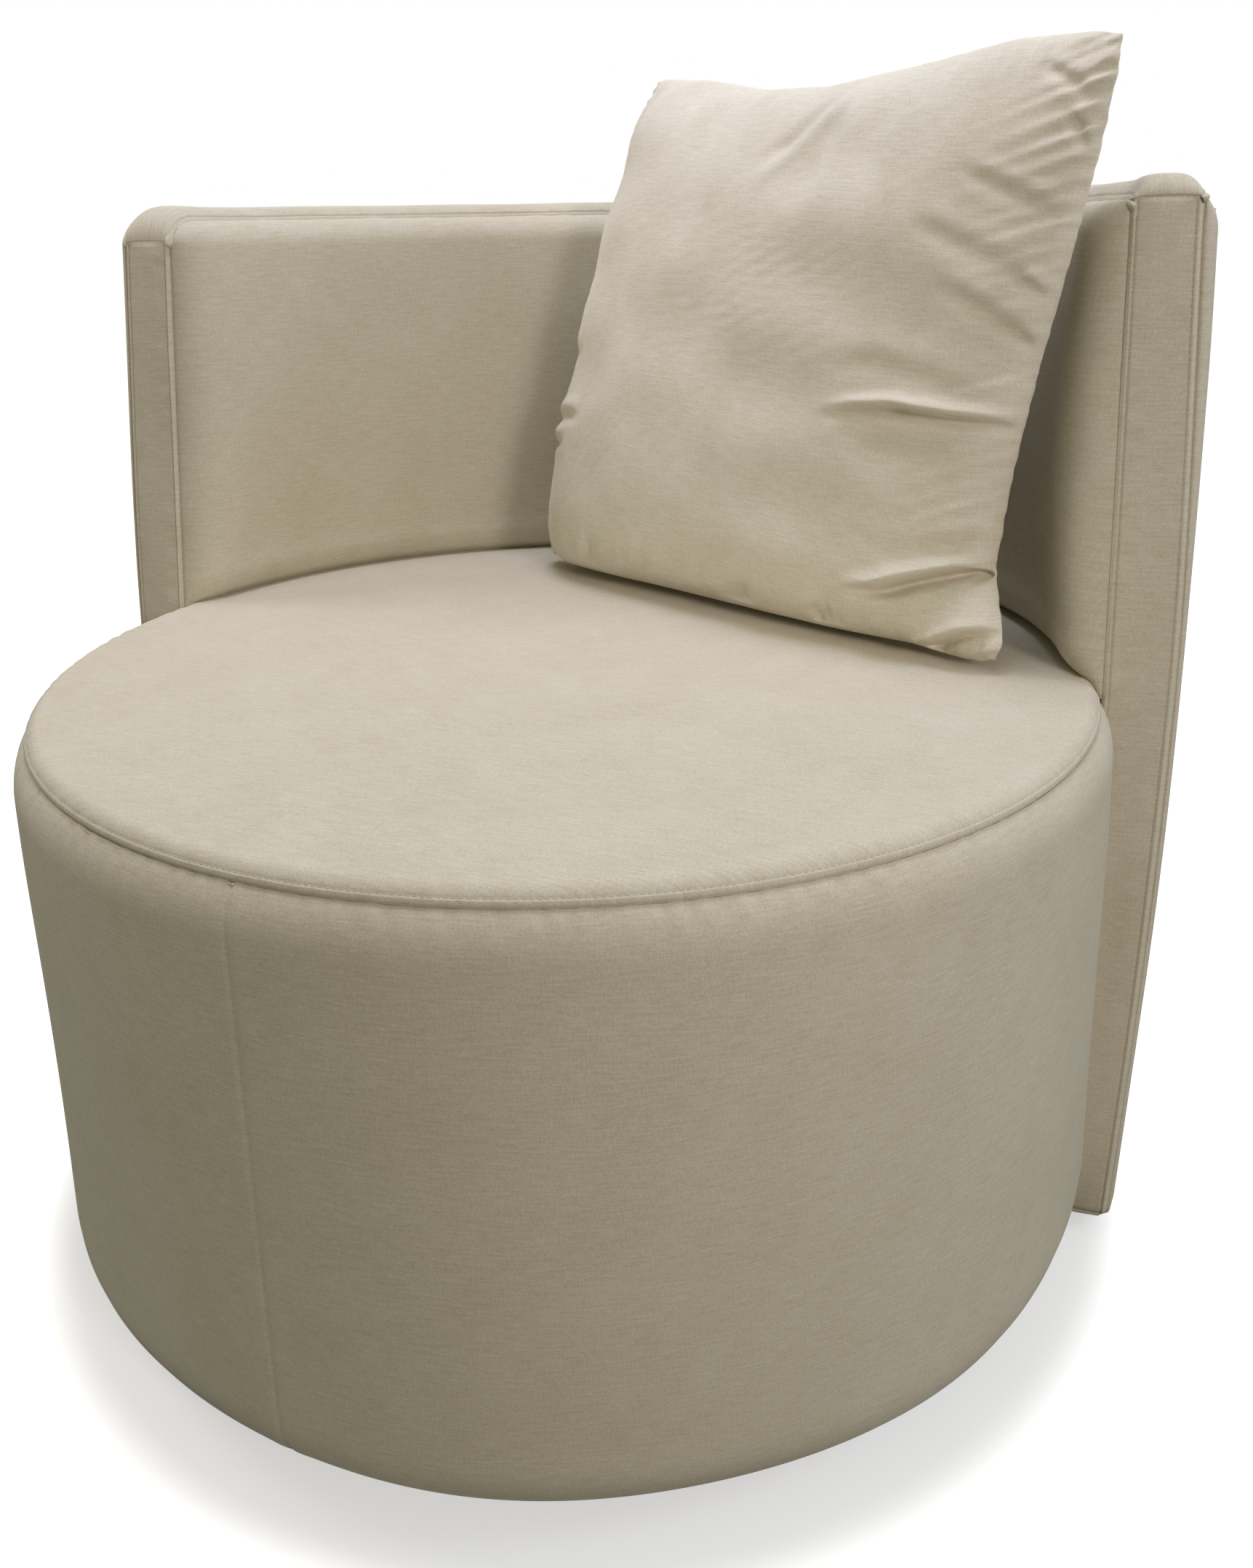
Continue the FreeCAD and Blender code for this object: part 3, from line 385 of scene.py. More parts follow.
def ripple(first, second, size, seed, count=9):
    """Smooth irregular waves between about -1 and 1, of a size in each direction."""
    rng = np.random.default_rng(seed)
    total = 0
    for _ in range(count):
        turn = rng.uniform(0, full_turn)
        pace = full_turn * rng.uniform(*ripple_pace)
        phase = rng.uniform(0, full_turn)
        total = total + np.sin(pace * (math.cos(turn) * first / size[0]
                                       + math.sin(turn) * second / size[1]) + phase)
    return total / math.sqrt(2 * count)


def arc(start, end, bulge, count=28):
    """Points of an arc that bulges to the right of its run."""
    start = np.array(start, float)
    end = np.array(end, float)
    run = end - start
    chord = math.hypot(*run)
    along = run / chord
    right = np.array([along[1], -along[0]])
    if not bulge:
        return start + np.linspace(0, 1, count)[:, None] * run
    half = 2 * math.atan(2 * bulge / chord)
    radius = chord / (2 * math.sin(half))
    angle = np.linspace(-half, half, count)[:, None]
    centre = (start + end) / 2 - right * radius * math.cos(half)
    return centre + radius * (np.cos(angle) * right + np.sin(angle) * along)


def traced(outline):
    """Points along an outline of (radius, height) corners and (bulge, corner) arcs."""
    runs = [np.array(outline[0], float)[None]]
    for part in outline[1:]:
        bulge, end = part if isinstance(part[1], tuple) else (0, part)
        runs.append(arc(runs[-1][-1], end, bulge)[1:])
    return np.concatenate(runs)


def reaches(points):
    """Distance of each point of a line from its start, along it."""
    return np.concatenate([[0], np.cumsum(np.linalg.norm(np.diff(points, axis=0), axis=1))])


def points_along(points, distance, wanted):
    """Points of a line where a distance that grows along it has wanted values."""
    return np.stack([np.interp(wanted, distance, values) for values in points.T], axis=-1)


def length_of(outline):
    """Length of an outline."""
    return reaches(traced(outline))[-1]


def rows_between(length, seams, coarsest):
    """Distances along an outline, close together near its seams."""
    at = [0.0]
    while at[-1] < length:
        near = min(abs(at[-1] - seam) for seam in seams)
        at.append(at[-1] + min(coarsest, finest_step + step_growth * max(0, near - ridge_width)))
    return np.array(at) * (length / at[-1])


def stations(outline, seams, coarsest):
    """Points and outward directions along an outline, and their distances along it."""
    points = traced(outline)
    reach = reaches(points)
    at = rows_between(reach[-1], seams, coarsest)
    place = points_along(points, reach, at)
    run = np.gradient(place, at, axis=0)
    run /= np.hypot(run[:, 0], run[:, 1])[:, None]
    out = np.stack([run[:, 1], -run[:, 0]], axis=1)
    return place, out, at


def folded_side(distance, deep=stitch_depth, high=ridge_height, tight=seam_depth):
    """Relief beside a seam on the side where its allowance is folded under and topstitched."""
    away = np.abs(distance)
    ridge = high * (smooth(0, ridge_rise, away) - smooth(ridge_width - ridge_fall, ridge_width, away))
    groove = -tight * bump(away, seam_half_width)
    stitched = -deep * bump(away - ridge_width, stitch_half_width)
    beyond = np.maximum(away - ridge_width, 0)
    swell = beyond_swell * smooth(0, beyond_swell_start, beyond) * np.exp(-beyond / beyond_swell_length)
    return ridge + groove + stitched + swell


def outer_folded_side(distance):
    """The same beside the outer seams, where the fold is thinner."""
    return folded_side(distance, high=outer_ridge_height, tight=outer_seam_depth)


def plain_side(distance):
    """Relief beside a seam on its other side."""
    away = np.abs(distance)
    return -seam_depth * bump(away, seam_half_width) - plain_fall * np.exp(-away / plain_fall_length)


def puckers(away, way, look):
    """Short waves along a seam, highest at a distance from it."""
    high, crest, half_width, length, seed = look
    return high * bump(away - crest, half_width) * ripple(way, 0, (length, 1), seed)


def waves(first, second, look):
    """Broad waves of padded cloth."""
    high, lengths, seed = look
    return high * ripple(first, second, lengths, seed)


def swells(away, first, second, look):
    """Broad waves that grow with the distance from a seam."""
    look, growth = look
    return smooth(*growth, away) * waves(first, second, look)


def line_at(rows, distance, wanted):
    """The point of each row of points where its distance is the wanted one."""
    distance = np.broadcast_to(distance, rows.shape[:2])
    return np.array([points_along(row, away, wanted) for row, away in zip(rows, distance)])


def inner_line(height):
    """Radius of the inner seams at a height."""
    share = (height - seat_seam_height) / (wall_top_height - seat_seam_height)
    return wall_inner_seat_radius - share * wall_inner_lean


def outer_line(height):
    """Radius of the outer fabric at a height, with its bow."""
    share = (height - wall_floor_gap) / (wall_top_height - wall_floor_gap)
    return wall_outer_foot_radius - share * wall_outer_lean + 4 * wall_outer_bow * share * (1 - share)


def roll_at(height):
    """How far the outer fabric rolls round the arm fronts at a height."""
    return outer_roll_low + (outer_roll - outer_roll_low) * smooth(seat_seam_height, wall_top_height, height)


def front_line(height, depth=0.0):
    """Y of the arm fronts' leaning plane at a height, or of a plane behind it."""
    rise = (height - seat_seam_height) * math.tan(arm_front_lean)
    return arm_front_setback + rise + depth / math.cos(arm_front_lean)


def corner_depth(height, top):
    """How far the left arm's rounded top corner is behind its front plane at a height."""
    low = wall_top_height + cross_seam_rise[1]
    over = np.clip((height - low) / (top - low), 0, 1)
    return crown_end_round[1] * (1 - np.sqrt(1 - over ** 2))


def wall_angles(radius, height, depths, count, left_depths=None, corner=0.0):
    """Angles of columns round the back: at depths behind the arm fronts, and evenly between."""
    if left_depths is None:
        left_depths = depths
    near = [np.arcsin(front_line(height, depth) / radius) for depth in depths]
    far = [half_turn - np.arcsin(front_line(height, depth + corner) / radius) for depth in left_depths]
    shares = np.linspace(0, 1, count)[1:-1]
    middle = [near[-1] + (far[-1] - near[-1]) * share for share in shares]
    return np.stack(near + middle + far[::-1], axis=1)


# Meshes

def new_mesh(name, points, faces):
    """A mesh of points and faces."""
    mesh = bpy.data.meshes.new(name)
    mesh.from_pydata(np.reshape(points, (-1, 3)).tolist(), [], faces)
    return mesh


def woven_mesh(name, points, faces, weave):
    """A mesh with each point's place in the weave, in metres."""
    mesh = new_mesh(name, points, faces)
    corners = np.array([corner for face in faces for corner in face])
    layer = mesh.uv_layers.new(name="weave")
    layer.data.foreach_set("uv", weave.reshape(-1, 2)[corners].ravel())
    return mesh


def linked(name, data):
    """An object of its data, in the scene."""
    made = bpy.data.objects.new(name, data)
    bpy.context.scene.collection.objects.link(made)
    return made


def grid_piece(name, points, weave, ring=False):
    """A cloth piece from a grid of points, or from rings, the last of them closed by a face."""
    rows, columns = points.shape[:2]
    spans = columns if ring else columns - 1
    index = np.arange(rows * columns).reshape(rows, columns)
    across = (np.arange(spans) + 1) % columns
    quads = np.stack([index[:-1, :spans], index[:-1][:, across],
                      index[1:][:, across], index[1:, :spans]], axis=-1).reshape(-1, 4)
    faces = quads.tolist()
    if ring:
        faces.append(index[-1].tolist())
    return placed(name, woven_mesh(name, points, faces, weave), fabric)


def placed(name, mesh, thick=0.0):
    """An object of a mesh, smooth, with the cloth's thickness inside it."""
    mesh.polygons.foreach_set("use_smooth", [True] * len(mesh.polygons))
    piece = linked(name, mesh)
    if thick:
        solid = piece.modifiers.new("thickness", "SOLIDIFY")
        solid.thickness = thick
        solid.offset = -1
        solid.use_even_offset = False
    return piece


def turned_points(radius, place, out, lift, angles):
    """Points of an outline at each column's angle, lifted along its outward direction."""
    radius = radius + out[:, :1] * lift
    height = place[:, 1:] + out[:, 1:] * lift
    return np.stack(np.broadcast_arrays(radius * np.cos(angles), radius * np.sin(angles), height), axis=-1)


def side_at(radius, back, angles):
    """X of points at a radius and a Y, on the side that their angle is on."""
    return np.sqrt(np.maximum(radius ** 2 - back ** 2, 0)) * np.sign(np.cos(angles))


def both_ends(near, count, between):
    """A value for each column: the near ones from both ends inward, and one value between."""
    near = np.array(near, float)
    return np.concatenate([near, np.full(count - 2 * len(near), between), near[::-1]])


def rounded_ends(depths, tucked, reach, count):
    """How full a padded piece is at each column: 0 where it is tucked, 1 from a depth on."""
    grown = np.sqrt(np.maximum(0, 1 - (1 - depths / reach) ** 2))
    grown[:len(tucked)] = 0
    return both_ends(grown, count, 1.0)


def weave_of(first, second):
    """Weave coordinates from two grids."""
    return np.stack(np.broadcast_arrays(first, second), axis=-1).astype(float)


# Seat and drum

def seat_top():
    """Top of the seat: a shallow dome with a topstitched rim."""
    columns, step = seat_grid
    edge = (seat_radius - seat_edge_round, seat_edge_height)
    crown = -(edge[0] ** 2 + seat_crown_rise ** 2) / (2 * seat_crown_rise)
    crown_bulge = -crown - math.sqrt(crown ** 2 - (edge[0] ** 2 + seat_crown_rise ** 2) / 4)
    outline = [(seat_radius - seam_tuck, seat_seam_height - seam_tuck),
               (seat_radius, seat_seam_height),
               (quarter_bulge_share * seat_edge_round, edge),
               (crown_bulge, (seat_hole_radius, seat_centre_height))]
    place, out, at = stations(outline, [tuck_length], step)
    radius = place[:, :1]
    angles = np.linspace(0, full_turn, columns, endpoint=False)[None] * np.ones((len(at), 1))
    from_seam = (at - tuck_length)[:, None]
    beyond = from_seam - ridge_width
    pucker = puckers(beyond, angles * seat_radius, seat_puckers)
    soft = swells(beyond, radius * np.cos(angles), radius * np.sin(angles), seat_swells)
    lift = folded_side(from_seam, rim_stitch_depth, rim_ridge_height) * (from_seam > 0) + pucker + soft
    points = turned_points(radius, place, out, lift, angles)
    stitch_lines.append(line_at(points.swapaxes(0, 1), from_seam[:, 0], ridge_width))
    return grid_piece("seat_top", points, weave_of(points[..., 0], points[..., 1]), ring=True)


def drum_side():
    """Side of the drum, between the arm fronts, with one upright seam and a turned-under foot."""
    columns, step = drum_grid
    foot = drum_foot_radius - drum_foot_round
    seam_height = seat_seam_height - cloth_gap
    outline = [(foot - drum_hem_width, drum_floor_gap),
               (foot, drum_floor_gap),
               (quarter_bulge_share * drum_foot_round,
                (drum_foot_radius, drum_floor_gap + drum_foot_round)),
               (drum_shoulder_radius, seat_seam_height - drum_shoulder_drop),
               (drum_shoulder_bulge, (seat_radius, seam_height)),
               (seat_radius - seam_tuck, seam_height - seam_tuck)]
    seam = length_of(outline) - tuck_length
    place, out, at = stations(outline, [seam], step)
    first = np.arcsin(front_line(place[:, 1], -cloth_gap) / place[:, 0])[:, None]
    angles = first - np.linspace(0, 1, columns)[None] * (half_turn + 2 * first)
    round_way = angles * drum_foot_radius
    up_way = at[:, None]
    from_seam = seam - up_way
    pucker = puckers(from_seam, round_way, drum_puckers)
    soft = swells(from_seam, round_way, up_way, drum_swells)
    upright = near_seam_relief((angles - drum_seam_angle) * drum_foot_radius)
    upright = upright * smooth(0, drum_seam_start, up_way)
    lift = plain_side(from_seam) * (from_seam > 0) + pucker + soft + upright
    points = turned_points(place[:, :1], place, out, lift, angles)
    return grid_piece("drum_side", points[:, ::-1], weave_of(round_way[:, ::-1], up_way))


def near_seam_relief(distance):
    """A plain upright seam, its allowance pressed open."""
    away = np.abs(distance)
    deep, narrow = drum_seam_groove
    high, crest, wide = drum_seam_swell
    return high * bump(away - crest, wide) - deep * bump(away, narrow)


# Back

def end_depths(limit, count):
    """Depths behind the arm fronts, close together near them."""
    return limit * (1 - np.cos(np.linspace(0, half_turn / 2, count)))


def inner_pad():
    """Inner pad, swelling from the seams at its head and at the arm fronts."""
    columns, step = pad_grid
    head_height = wall_top_height - pad_head_round
    foot_height = pad_foot_height + pad_foot_round
    outline = [(wall_inner_top_radius + seam_tuck, wall_top_height - seam_tuck),
               (wall_inner_top_radius, wall_top_height),
               (pad_head_bulge, (inner_line(head_height) - pad_head_depth, head_height)),
               (pad_face_bow, (inner_line(foot_height) - pad_foot_depth, foot_height)),
               (pad_foot_bulge, (inner_line(pad_foot_height) - pad_foot_setback, pad_foot_height)),
               (pad_edge_bulge, (wall_inner_seat_radius, seat_seam_height))]
    place, out, at = stations(outline, [tuck_length], step)
    depths = np.concatenate([pad_tucked, end_depths(pad_end_round, pad_end_columns)])
    base = inner_line(place[:, 1])
    corner = corner_depth(place[:, 1], wall_top_height)
    angles = wall_angles(base, place[:, 1], depths, columns, corner=corner)
    count = angles.shape[1]
    base = base[:, None]
    fill = rounded_ends(depths, pad_tucked, pad_end_round, count)
    radius = base - (base - place[:, :1]) * fill + both_ends([pad_tuck, pad_tuck], count, 0.0)
    upright = smooth(*pad_upright, np.sin(angles))
    back = np.sin(angles) * (base * upright + radius * (1 - upright))
    angles = np.arctan2(back, side_at(radius, back, angles))
    round_way = (angles - half_turn / 2) * wall_inner_top_radius
    up_way = at[:, None]
    from_seam = up_way - tuck_length
    uneven = puckers(from_seam, round_way, pad_puckers) + swells(from_seam, round_way, up_way, pad_swells)
    lift = plain_side(from_seam) * (from_seam > 0) + uneven * fill ** 2
    points = turned_points(radius, place, out, lift, angles)
    return grid_piece("inner_pad", points[:, ::-1], weave_of(round_way[:, ::-1], up_way))


def crown_rise(share):
    """Rise of the crown at a share of the way from its inner seam to its outer one."""
    edge = outer_seam_rise * share
    arch = np.clip(1 - np.abs(2 * share - 1) ** crown_squareness, 0, 1)
    return edge + (wall_crown - edge) * arch ** crown_edge_share


def crown_outline():
    """Top band from its outer seam to its inner seam, with its edges tucked in."""
    shares = (1 + np.cos(np.linspace(0, half_turn, crown_points))) / 2
    arch = [(wall_inner_top_radius + band_width * share, wall_top_height + crown_rise(share))
            for share in shares]
    return ([(outer_seam_radius - seam_tuck, outer_seam_height - seam_tuck)] + arch
            + [(wall_inner_top_radius + seam_tuck, wall_top_height - seam_tuck)])


def cross_seam_height(rise, side):
    """Height of the seam across an arm front's top, under a rise of the crown."""
    low = np.where(side > 0, *cross_seam_rise)
    return wall_top_height + low + cross_seam_arch * rise / wall_crown


def band_crown(arch):
    """How far the padding swells an arm front, from a share that is 0 at its seams and 1 midway."""
    return arm_front_crown * smooth(0, arm_front_swell, np.sqrt(np.clip(arch, 0, 1)))


def top_band():
    """Crowned band along the top, rolled over at the arm fronts down to the cross seams."""
    columns, step = band_grid
    outline = crown_outline()
    last_seam = length_of(outline) - tuck_length
    place, out, at = stations(outline, [tuck_length, last_seam], step)
    across = at[:, None]
    low = across - tuck_length
    high = last_seam - across
    inside = (low > 0) & (high > 0)
    relief = np.where(low < high, outer_folded_side(low), folded_side(high)) * inside
    turns = half_turn / 2 * np.linspace(0, 1, band_end_columns) ** crown_end_pace
    turns = np.concatenate([[0], turns])
    depths, left_depths = (reach * (1 - np.cos(turns)) for reach in crown_end_round)
    depths[0] = left_depths[0] = tucked_depth
    angles = wall_angles(place[:, 0], place[:, 1], depths, columns, left_depths)
    round_way = (angles - half_turn / 2) * wall_inner_top_radius
    uneven = puckers(low, round_way, band_outer_puckers) + puckers(high, round_way, band_inner_puckers)
    uneven = uneven + waves(round_way, 0, band_waves)
    share = both_ends(np.sin(turns), angles.shape[1], 1.0)
    lift = relief * share + uneven * inside
    radius = place[:, :1] + out[:, :1] * lift
    height = place[:, 1:] + out[:, 1:] * lift
    rise = np.maximum(height - wall_top_height, 0)
    foot = np.minimum(cross_seam_height(rise, np.cos(angles)), height)
    height = foot + (height - foot) * share
    height[:, [0, -1]] -= crown_end_drop
    over = np.clip((radius - wall_inner_top_radius) / band_width, 0, 1)
    arch = 4 * over * (1 - over)
    back = np.sin(angles) * radius
    for index, turn in enumerate(turns):
        proud = band_crown(arch) * math.cos(turn)
        for column, depth in ((index, depths[index]), (-1 - index, left_depths[index])):
            back[:, column] = front_line(height[:, column], depth) - proud[:, column]
    bulge = np.where(np.cos(angles) > 0, *crown_end_bulge) * share * smooth(0, crown_end_swell, arch)
    height = height + bulge * bump(back - front_line(height), crown_end_reach)
    points = np.stack([side_at(radius, back, angles), back, height], axis=-1)
    for distance, wanted in ((low, ridge_width), (-high, -ridge_width)):
        stitch_lines.append(line_at(points.swapaxes(0, 1), distance[:, 0], wanted)[2:-2])
    return grid_piece("top_band", points, weave_of(round_way, across + 0 * round_way))


def outer_back():
    """Outside of the back, rolled over at its seams and turned under at its foot."""
    columns, step = outer_grid
    low = wall_floor_gap + wall_foot_round
    foot = outer_line(low)
    top = wall_top_height - outer_roll_width
    outer_bulge = wall_outer_bow * ((top - low) / (wall_top_height - wall_floor_gap)) ** 2
    outline = [(foot - wall_foot_round - wall_hem_width, wall_floor_gap),
               (foot - wall_foot_round, wall_floor_gap),
               (quarter_bulge_share * wall_foot_round, (foot, low)),
               (outer_bulge, (outer_line(top), top)),
               (outer_roll_bulge, (outer_seam_radius, outer_seam_height)),
               (outer_seam_radius - seam_tuck, outer_seam_height - seam_tuck)]
    seam = length_of(outline) - tuck_length
    place, out, at = stations(outline, [seam], step)
    depths = np.concatenate([outer_tucked, end_depths(outer_roll_width, outer_end_columns)])
    corner = corner_depth(place[:, 1], outer_seam_height)
    angles = wall_angles(place[:, 0], place[:, 1], depths, columns, corner=corner)
    count = angles.shape[1]
    pulled = 1 - rounded_ends(depths, outer_tucked, outer_roll_width, count)
    tuck = both_ends([seam_tuck, outer_near_tuck], count, 0.0)
    round_way = (angles - half_turn / 2) * wall_outer_top_radius
    up_way = at[:, None]
    from_seam = seam - up_way
    free = smooth(0, outer_end_fade, np.abs(np.abs(round_way) - np.abs(round_way).max()))
    soft = swells(from_seam, round_way, up_way, outer_swells) * free
    lift = plain_side(from_seam) * (from_seam > 0) + soft - tuck * np.clip(out[:, :1], 0, 1)
    seam_radius = outer_line(place[:, 1:]) - roll_at(place[:, 1:])
    radius = place[:, :1] - np.maximum(place[:, :1] - seam_radius, 0) * pulled
    points = turned_points(radius, place, out, lift, angles)
    return grid_piece("outer_back", points, weave_of(round_way, up_way))


def arm_front(name, side, cross_seam):
    """Strip down an arm front, between its ridges, from the cross seam to its turned-under foot."""
    share = rows_between(band_width, [0, band_width], front_step)[None] / band_width
    zone = wall_top_height - front_top_zone
    heights = np.concatenate([np.linspace(wall_floor_gap + wall_foot_round, zone, front_rows[0]),
                              np.linspace(zone, wall_top_height, front_rows[1])[1:]])
    turns = np.linspace(0, half_turn / 2, hem_rows)[:-1]
    hem = np.concatenate([[wall_foot_round + front_hem_width], wall_foot_round * (1 - np.sin(turns))])
    foot = np.concatenate([[0], wall_foot_round * (1 - np.cos(turns))]) + wall_floor_gap
    height = np.concatenate([foot, heights])[:, None]
    depth = np.concatenate([hem, 0 * heights])[:, None]
    top = cross_seam_height(crown_rise(share), side)
    stretch = smooth(wall_top_height - front_stretch_zone, wall_top_height, height)
    height = height + (top - wall_top_height) * stretch
    inner = np.where(height > seat_seam_height, inner_line(height), wall_inner_seat_radius)
    outer = outer_line(height) - roll_at(height)
    start = np.sqrt(inner ** 2 - front_line(height) ** 2)
    end = np.sqrt(outer ** 2 - front_line(height) ** 2)
    from_inner = share * (end - start)
    from_outer = end - start - from_inner
    from_top = top - height
    relief = np.where(from_inner < from_outer, folded_side(from_inner), outer_folded_side(from_outer))
    relief = relief * smooth(0, front_seam_fade, from_top)
    uneven = puckers(from_outer, height, front_outer_puckers)
    uneven = uneven + puckers(from_inner, height, front_inner_puckers) + waves(height, share, front_waves)
    free = smooth(0, front_edge_fade, from_inner) * smooth(0, front_edge_fade, from_outer)
    crown = band_crown(4 * share * (1 - share))
    lift = relief + uneven * free * smooth(0, front_cloth_fade, from_top) + crown * free
    lift = (lift + cross_seam * plain_side(from_top)) * smooth(wall_foot_round, 0, depth)
    points = np.stack([side * (start + from_inner), front_line(height, depth) - lift, height], axis=-1)
    shown = slice(len(hem), -front_bare_rows)
    stitch_lines.append(line_at(points[shown], from_inner[shown], ridge_width))
    stitch_lines.append(line_at(points[shown], -from_outer[shown], -ridge_width))
    inward = [0, tucked_depth, 0]
    points = np.concatenate([points[:, :1] + inward, points, points[:, -1:] + inward], axis=1)
    points = np.concatenate([points, points[-1:] + [0, tucked_depth, -front_top_drop]])
    weave = weave_of(points[..., 0], points[..., 2])
    if side > 0:
        return grid_piece(name, points, weave)
    return grid_piece(name, points[:, ::-1], weave[:, ::-1])


def stitches():
    """Topstitching: short threads along every line of it."""
    turns = np.arange(thread_sides) * full_turn / thread_sides
    threads = []
    for line in stitch_lines:
        reach = reaches(line)
        middles = np.arange(stitch_spacing, reach[-1] - stitch_spacing, stitch_spacing)
        spots = points_along(line, reach, middles)
        run = points_along(line, reach, middles + stitch_length / 2) - spots
        run /= np.linalg.norm(run, axis=1)[:, None]
        across = np.cross(run, thread_lean)
        across /= np.linalg.norm(across, axis=1)[:, None]
        up = np.cross(run, across)
        rings = [spots + run * along * stitch_length
                 + (across * math.cos(turn) + up * math.sin(turn)) * thread_radius * thick
                 for along, thick in thread_rings for turn in turns]
        threads.append(np.stack(rings, axis=1).reshape(-1, 3))
    points = np.concatenate(threads)
    count = thread_sides * len(thread_rings)
    first = np.arange(0, len(points), count)[:, None, None]
    ring = np.arange(thread_sides)
    after = (ring + 1) % thread_sides
    side = np.stack([ring, after, after + thread_sides, ring + thread_sides], axis=-1)
    sides = np.concatenate([side + thread_sides * span for span in range(len(thread_rings) - 1)])
    caps = np.stack([ring[::-1], ring + count - thread_sides])
    faces = np.concatenate([(first + part[None]).reshape(-1, 4) for part in (sides, caps)])
    return placed("stitches", new_mesh("stitches", points, faces.tolist()))


# Scatter cushion

def rim_spaced(count):
    """Places from -1 to 1, closer together at both ends."""
    even = np.linspace(-1, 1, count + 1)
    return cushion_evenness * even + (1 - cushion_evenness) * np.sin(half_turn / 2 * even)


def side_line(values, at):
    """A side's distance from the line between its corners, at shares of its length."""
    return np.interp(at, np.linspace(0, 1, len(values)), values)


def fullness(across, high, across_fall, high_fall, edge):
    """How full a panel is: 1 in its middle, and 0 at its rim."""
    return (1 - np.abs(across) ** across_fall) ** edge * (1 - np.abs(high) ** high_fall) ** edge


def cushion_form(side):
    """One panel of the cushion as the photograph shows it: shares of width and height, and depth."""
    columns, rows = cushion_cells
    across, high = np.meshgrid(rim_spaced(columns), rim_spaced(rows))
    u, v = (across + 1) / 2, (high + 1) / 2
    low_left, low_right, top_right, top_left = cushion_corner_round
    corner = np.where(high < 0, np.where(across < 0, low_left, low_right),
                      np.where(across < 0, top_left, top_right))
    corner = corner * smooth(cushion_corner_zone[0], 1, np.abs(across))
    corner = corner * smooth(cushion_corner_zone[1], 1, np.abs(high))
    wide = u + (1 - u) * side_line(cushion_left_side, v) + u * side_line(cushion_right_side, v)
    tall = v + (1 - v) * side_line(cushion_low_side, u) + v * side_line(cushion_top_side, u)
    wide = wide - across * corner
    tall = tall - high * corner
    if side > 0:
        falls = np.where(across < 0, *cushion_fall), np.where(high < 0, *cushion_tall_fall)
        depth = cushion_front * fullness(across, high, *falls, cushion_edge)
        depth = depth * (cushion_full - cushion_top_loss * v - cushion_side_loss * across ** 2)
        rest_height, rest_end = cushion_rest_zone
        resting = smooth(rest_height, 0, v) * smooth(0, rest_end, u) * smooth(1, 1 - rest_end, u)
        tall = tall - cushion_sag * resting * np.minimum(depth, cushion_contact) / cushion_height
    else:
        falls = cushion_behind_fall, cushion_behind_fall
        depth = -cushion_behind * fullness(across, high, *falls, cushion_behind_edge)
    start, top, full = cushion_ear_zone
    ear = smooth(start, 1, u) * smooth(top, full, v)
    across_ear, down_ear, forward_ear = cushion_ear
    return np.stack([wide + across_ear * ear, tall - down_ear * ear, depth + forward_ear * ear], axis=-1)


def panel_faces(rows, columns):
    """Point numbers of both panels on grids that share their rim, and the cells between them."""
    front = np.arange((rows + 1) * (columns + 1)).reshape(rows + 1, columns + 1)
    behind = front.copy()
    behind[1:-1, 1:-1] = front.size + np.arange((rows - 1) * (columns - 1)).reshape(rows - 1, columns - 1)
    faces = []
    for grid, turn in ((front, 1), (behind, -1)):
        cells = np.stack([grid[:-1, :-1], grid[:-1, 1:], grid[1:, 1:], grid[1:, :-1]], axis=-1)
        faces.append(cells.reshape(-1, 4)[:, ::turn])
    return front, behind, np.concatenate(faces)


def both_panels(front, behind):
    """Points of both panels in one list, the rim once."""
    return np.concatenate([front.reshape(-1, 3), behind[1:-1, 1:-1].reshape(-1, 3)])


def simulated(points, faces, rim, growth):
    """Settles the cushion as cloth under pressure, a little too large for its seam."""
    mesh = new_mesh("settling", points, faces.tolist())
    piece = placed("settling", mesh)
    held = piece.vertex_groups.new(name="held")
    held.add(rim.tolist(), 1.0, "REPLACE")
    grown = piece.vertex_groups.new(name="grown")
    for index, share in enumerate(growth):
        grown.add([index], float(share), "REPLACE")
    cloth = piece.modifiers.new("cloth", "CLOTH")
    for setting, value in cloth_settings.items():
        setattr(cloth.settings, setting, value)
    cloth.settings.vertex_group_mass = held.name
    cloth.settings.vertex_group_shrink = grown.name
    cloth.settings.effector_weights.gravity = 0
    cloth.collision_settings.use_collision = False
    cloth.point_cache.frame_start = 1
    cloth.point_cache.frame_end = cloth_frames
    scene = bpy.context.scene
    for number in range(1, cloth_frames + 1):
        scene.frame_set(number)
    shape = bpy.data.meshes.new_from_object(piece.evaluated_get(bpy.context.evaluated_depsgraph_get()))
    settled = np.zeros(3 * len(shape.vertices))
    shape.vertices.foreach_get("co", settled)
    bpy.data.meshes.remove(shape)
    bpy.data.objects.remove(piece)
    bpy.data.meshes.remove(mesh)
    scene.frame_set(1)
    return settled.reshape(-1, 3)


def doubled(grid):
    """A grid of points with a point halfway between each two, on a smooth curve."""
    for axis in (0, 1):
        points = np.moveaxis(grid, axis, 0)
        before = np.concatenate([2 * points[:1] - points[1:2], points[:-2]])
        after = np.concatenate([points[2:], 2 * points[-1:] - points[-2:-1]])
        between = (9 * (points[:-1] + points[1:]) - before - after) / 16
        finer = np.empty((2 * len(points) - 1,) + points.shape[1:])
        finer[::2] = points
        finer[1::2] = between
        grid = np.moveaxis(finer, 0, axis)
    return grid


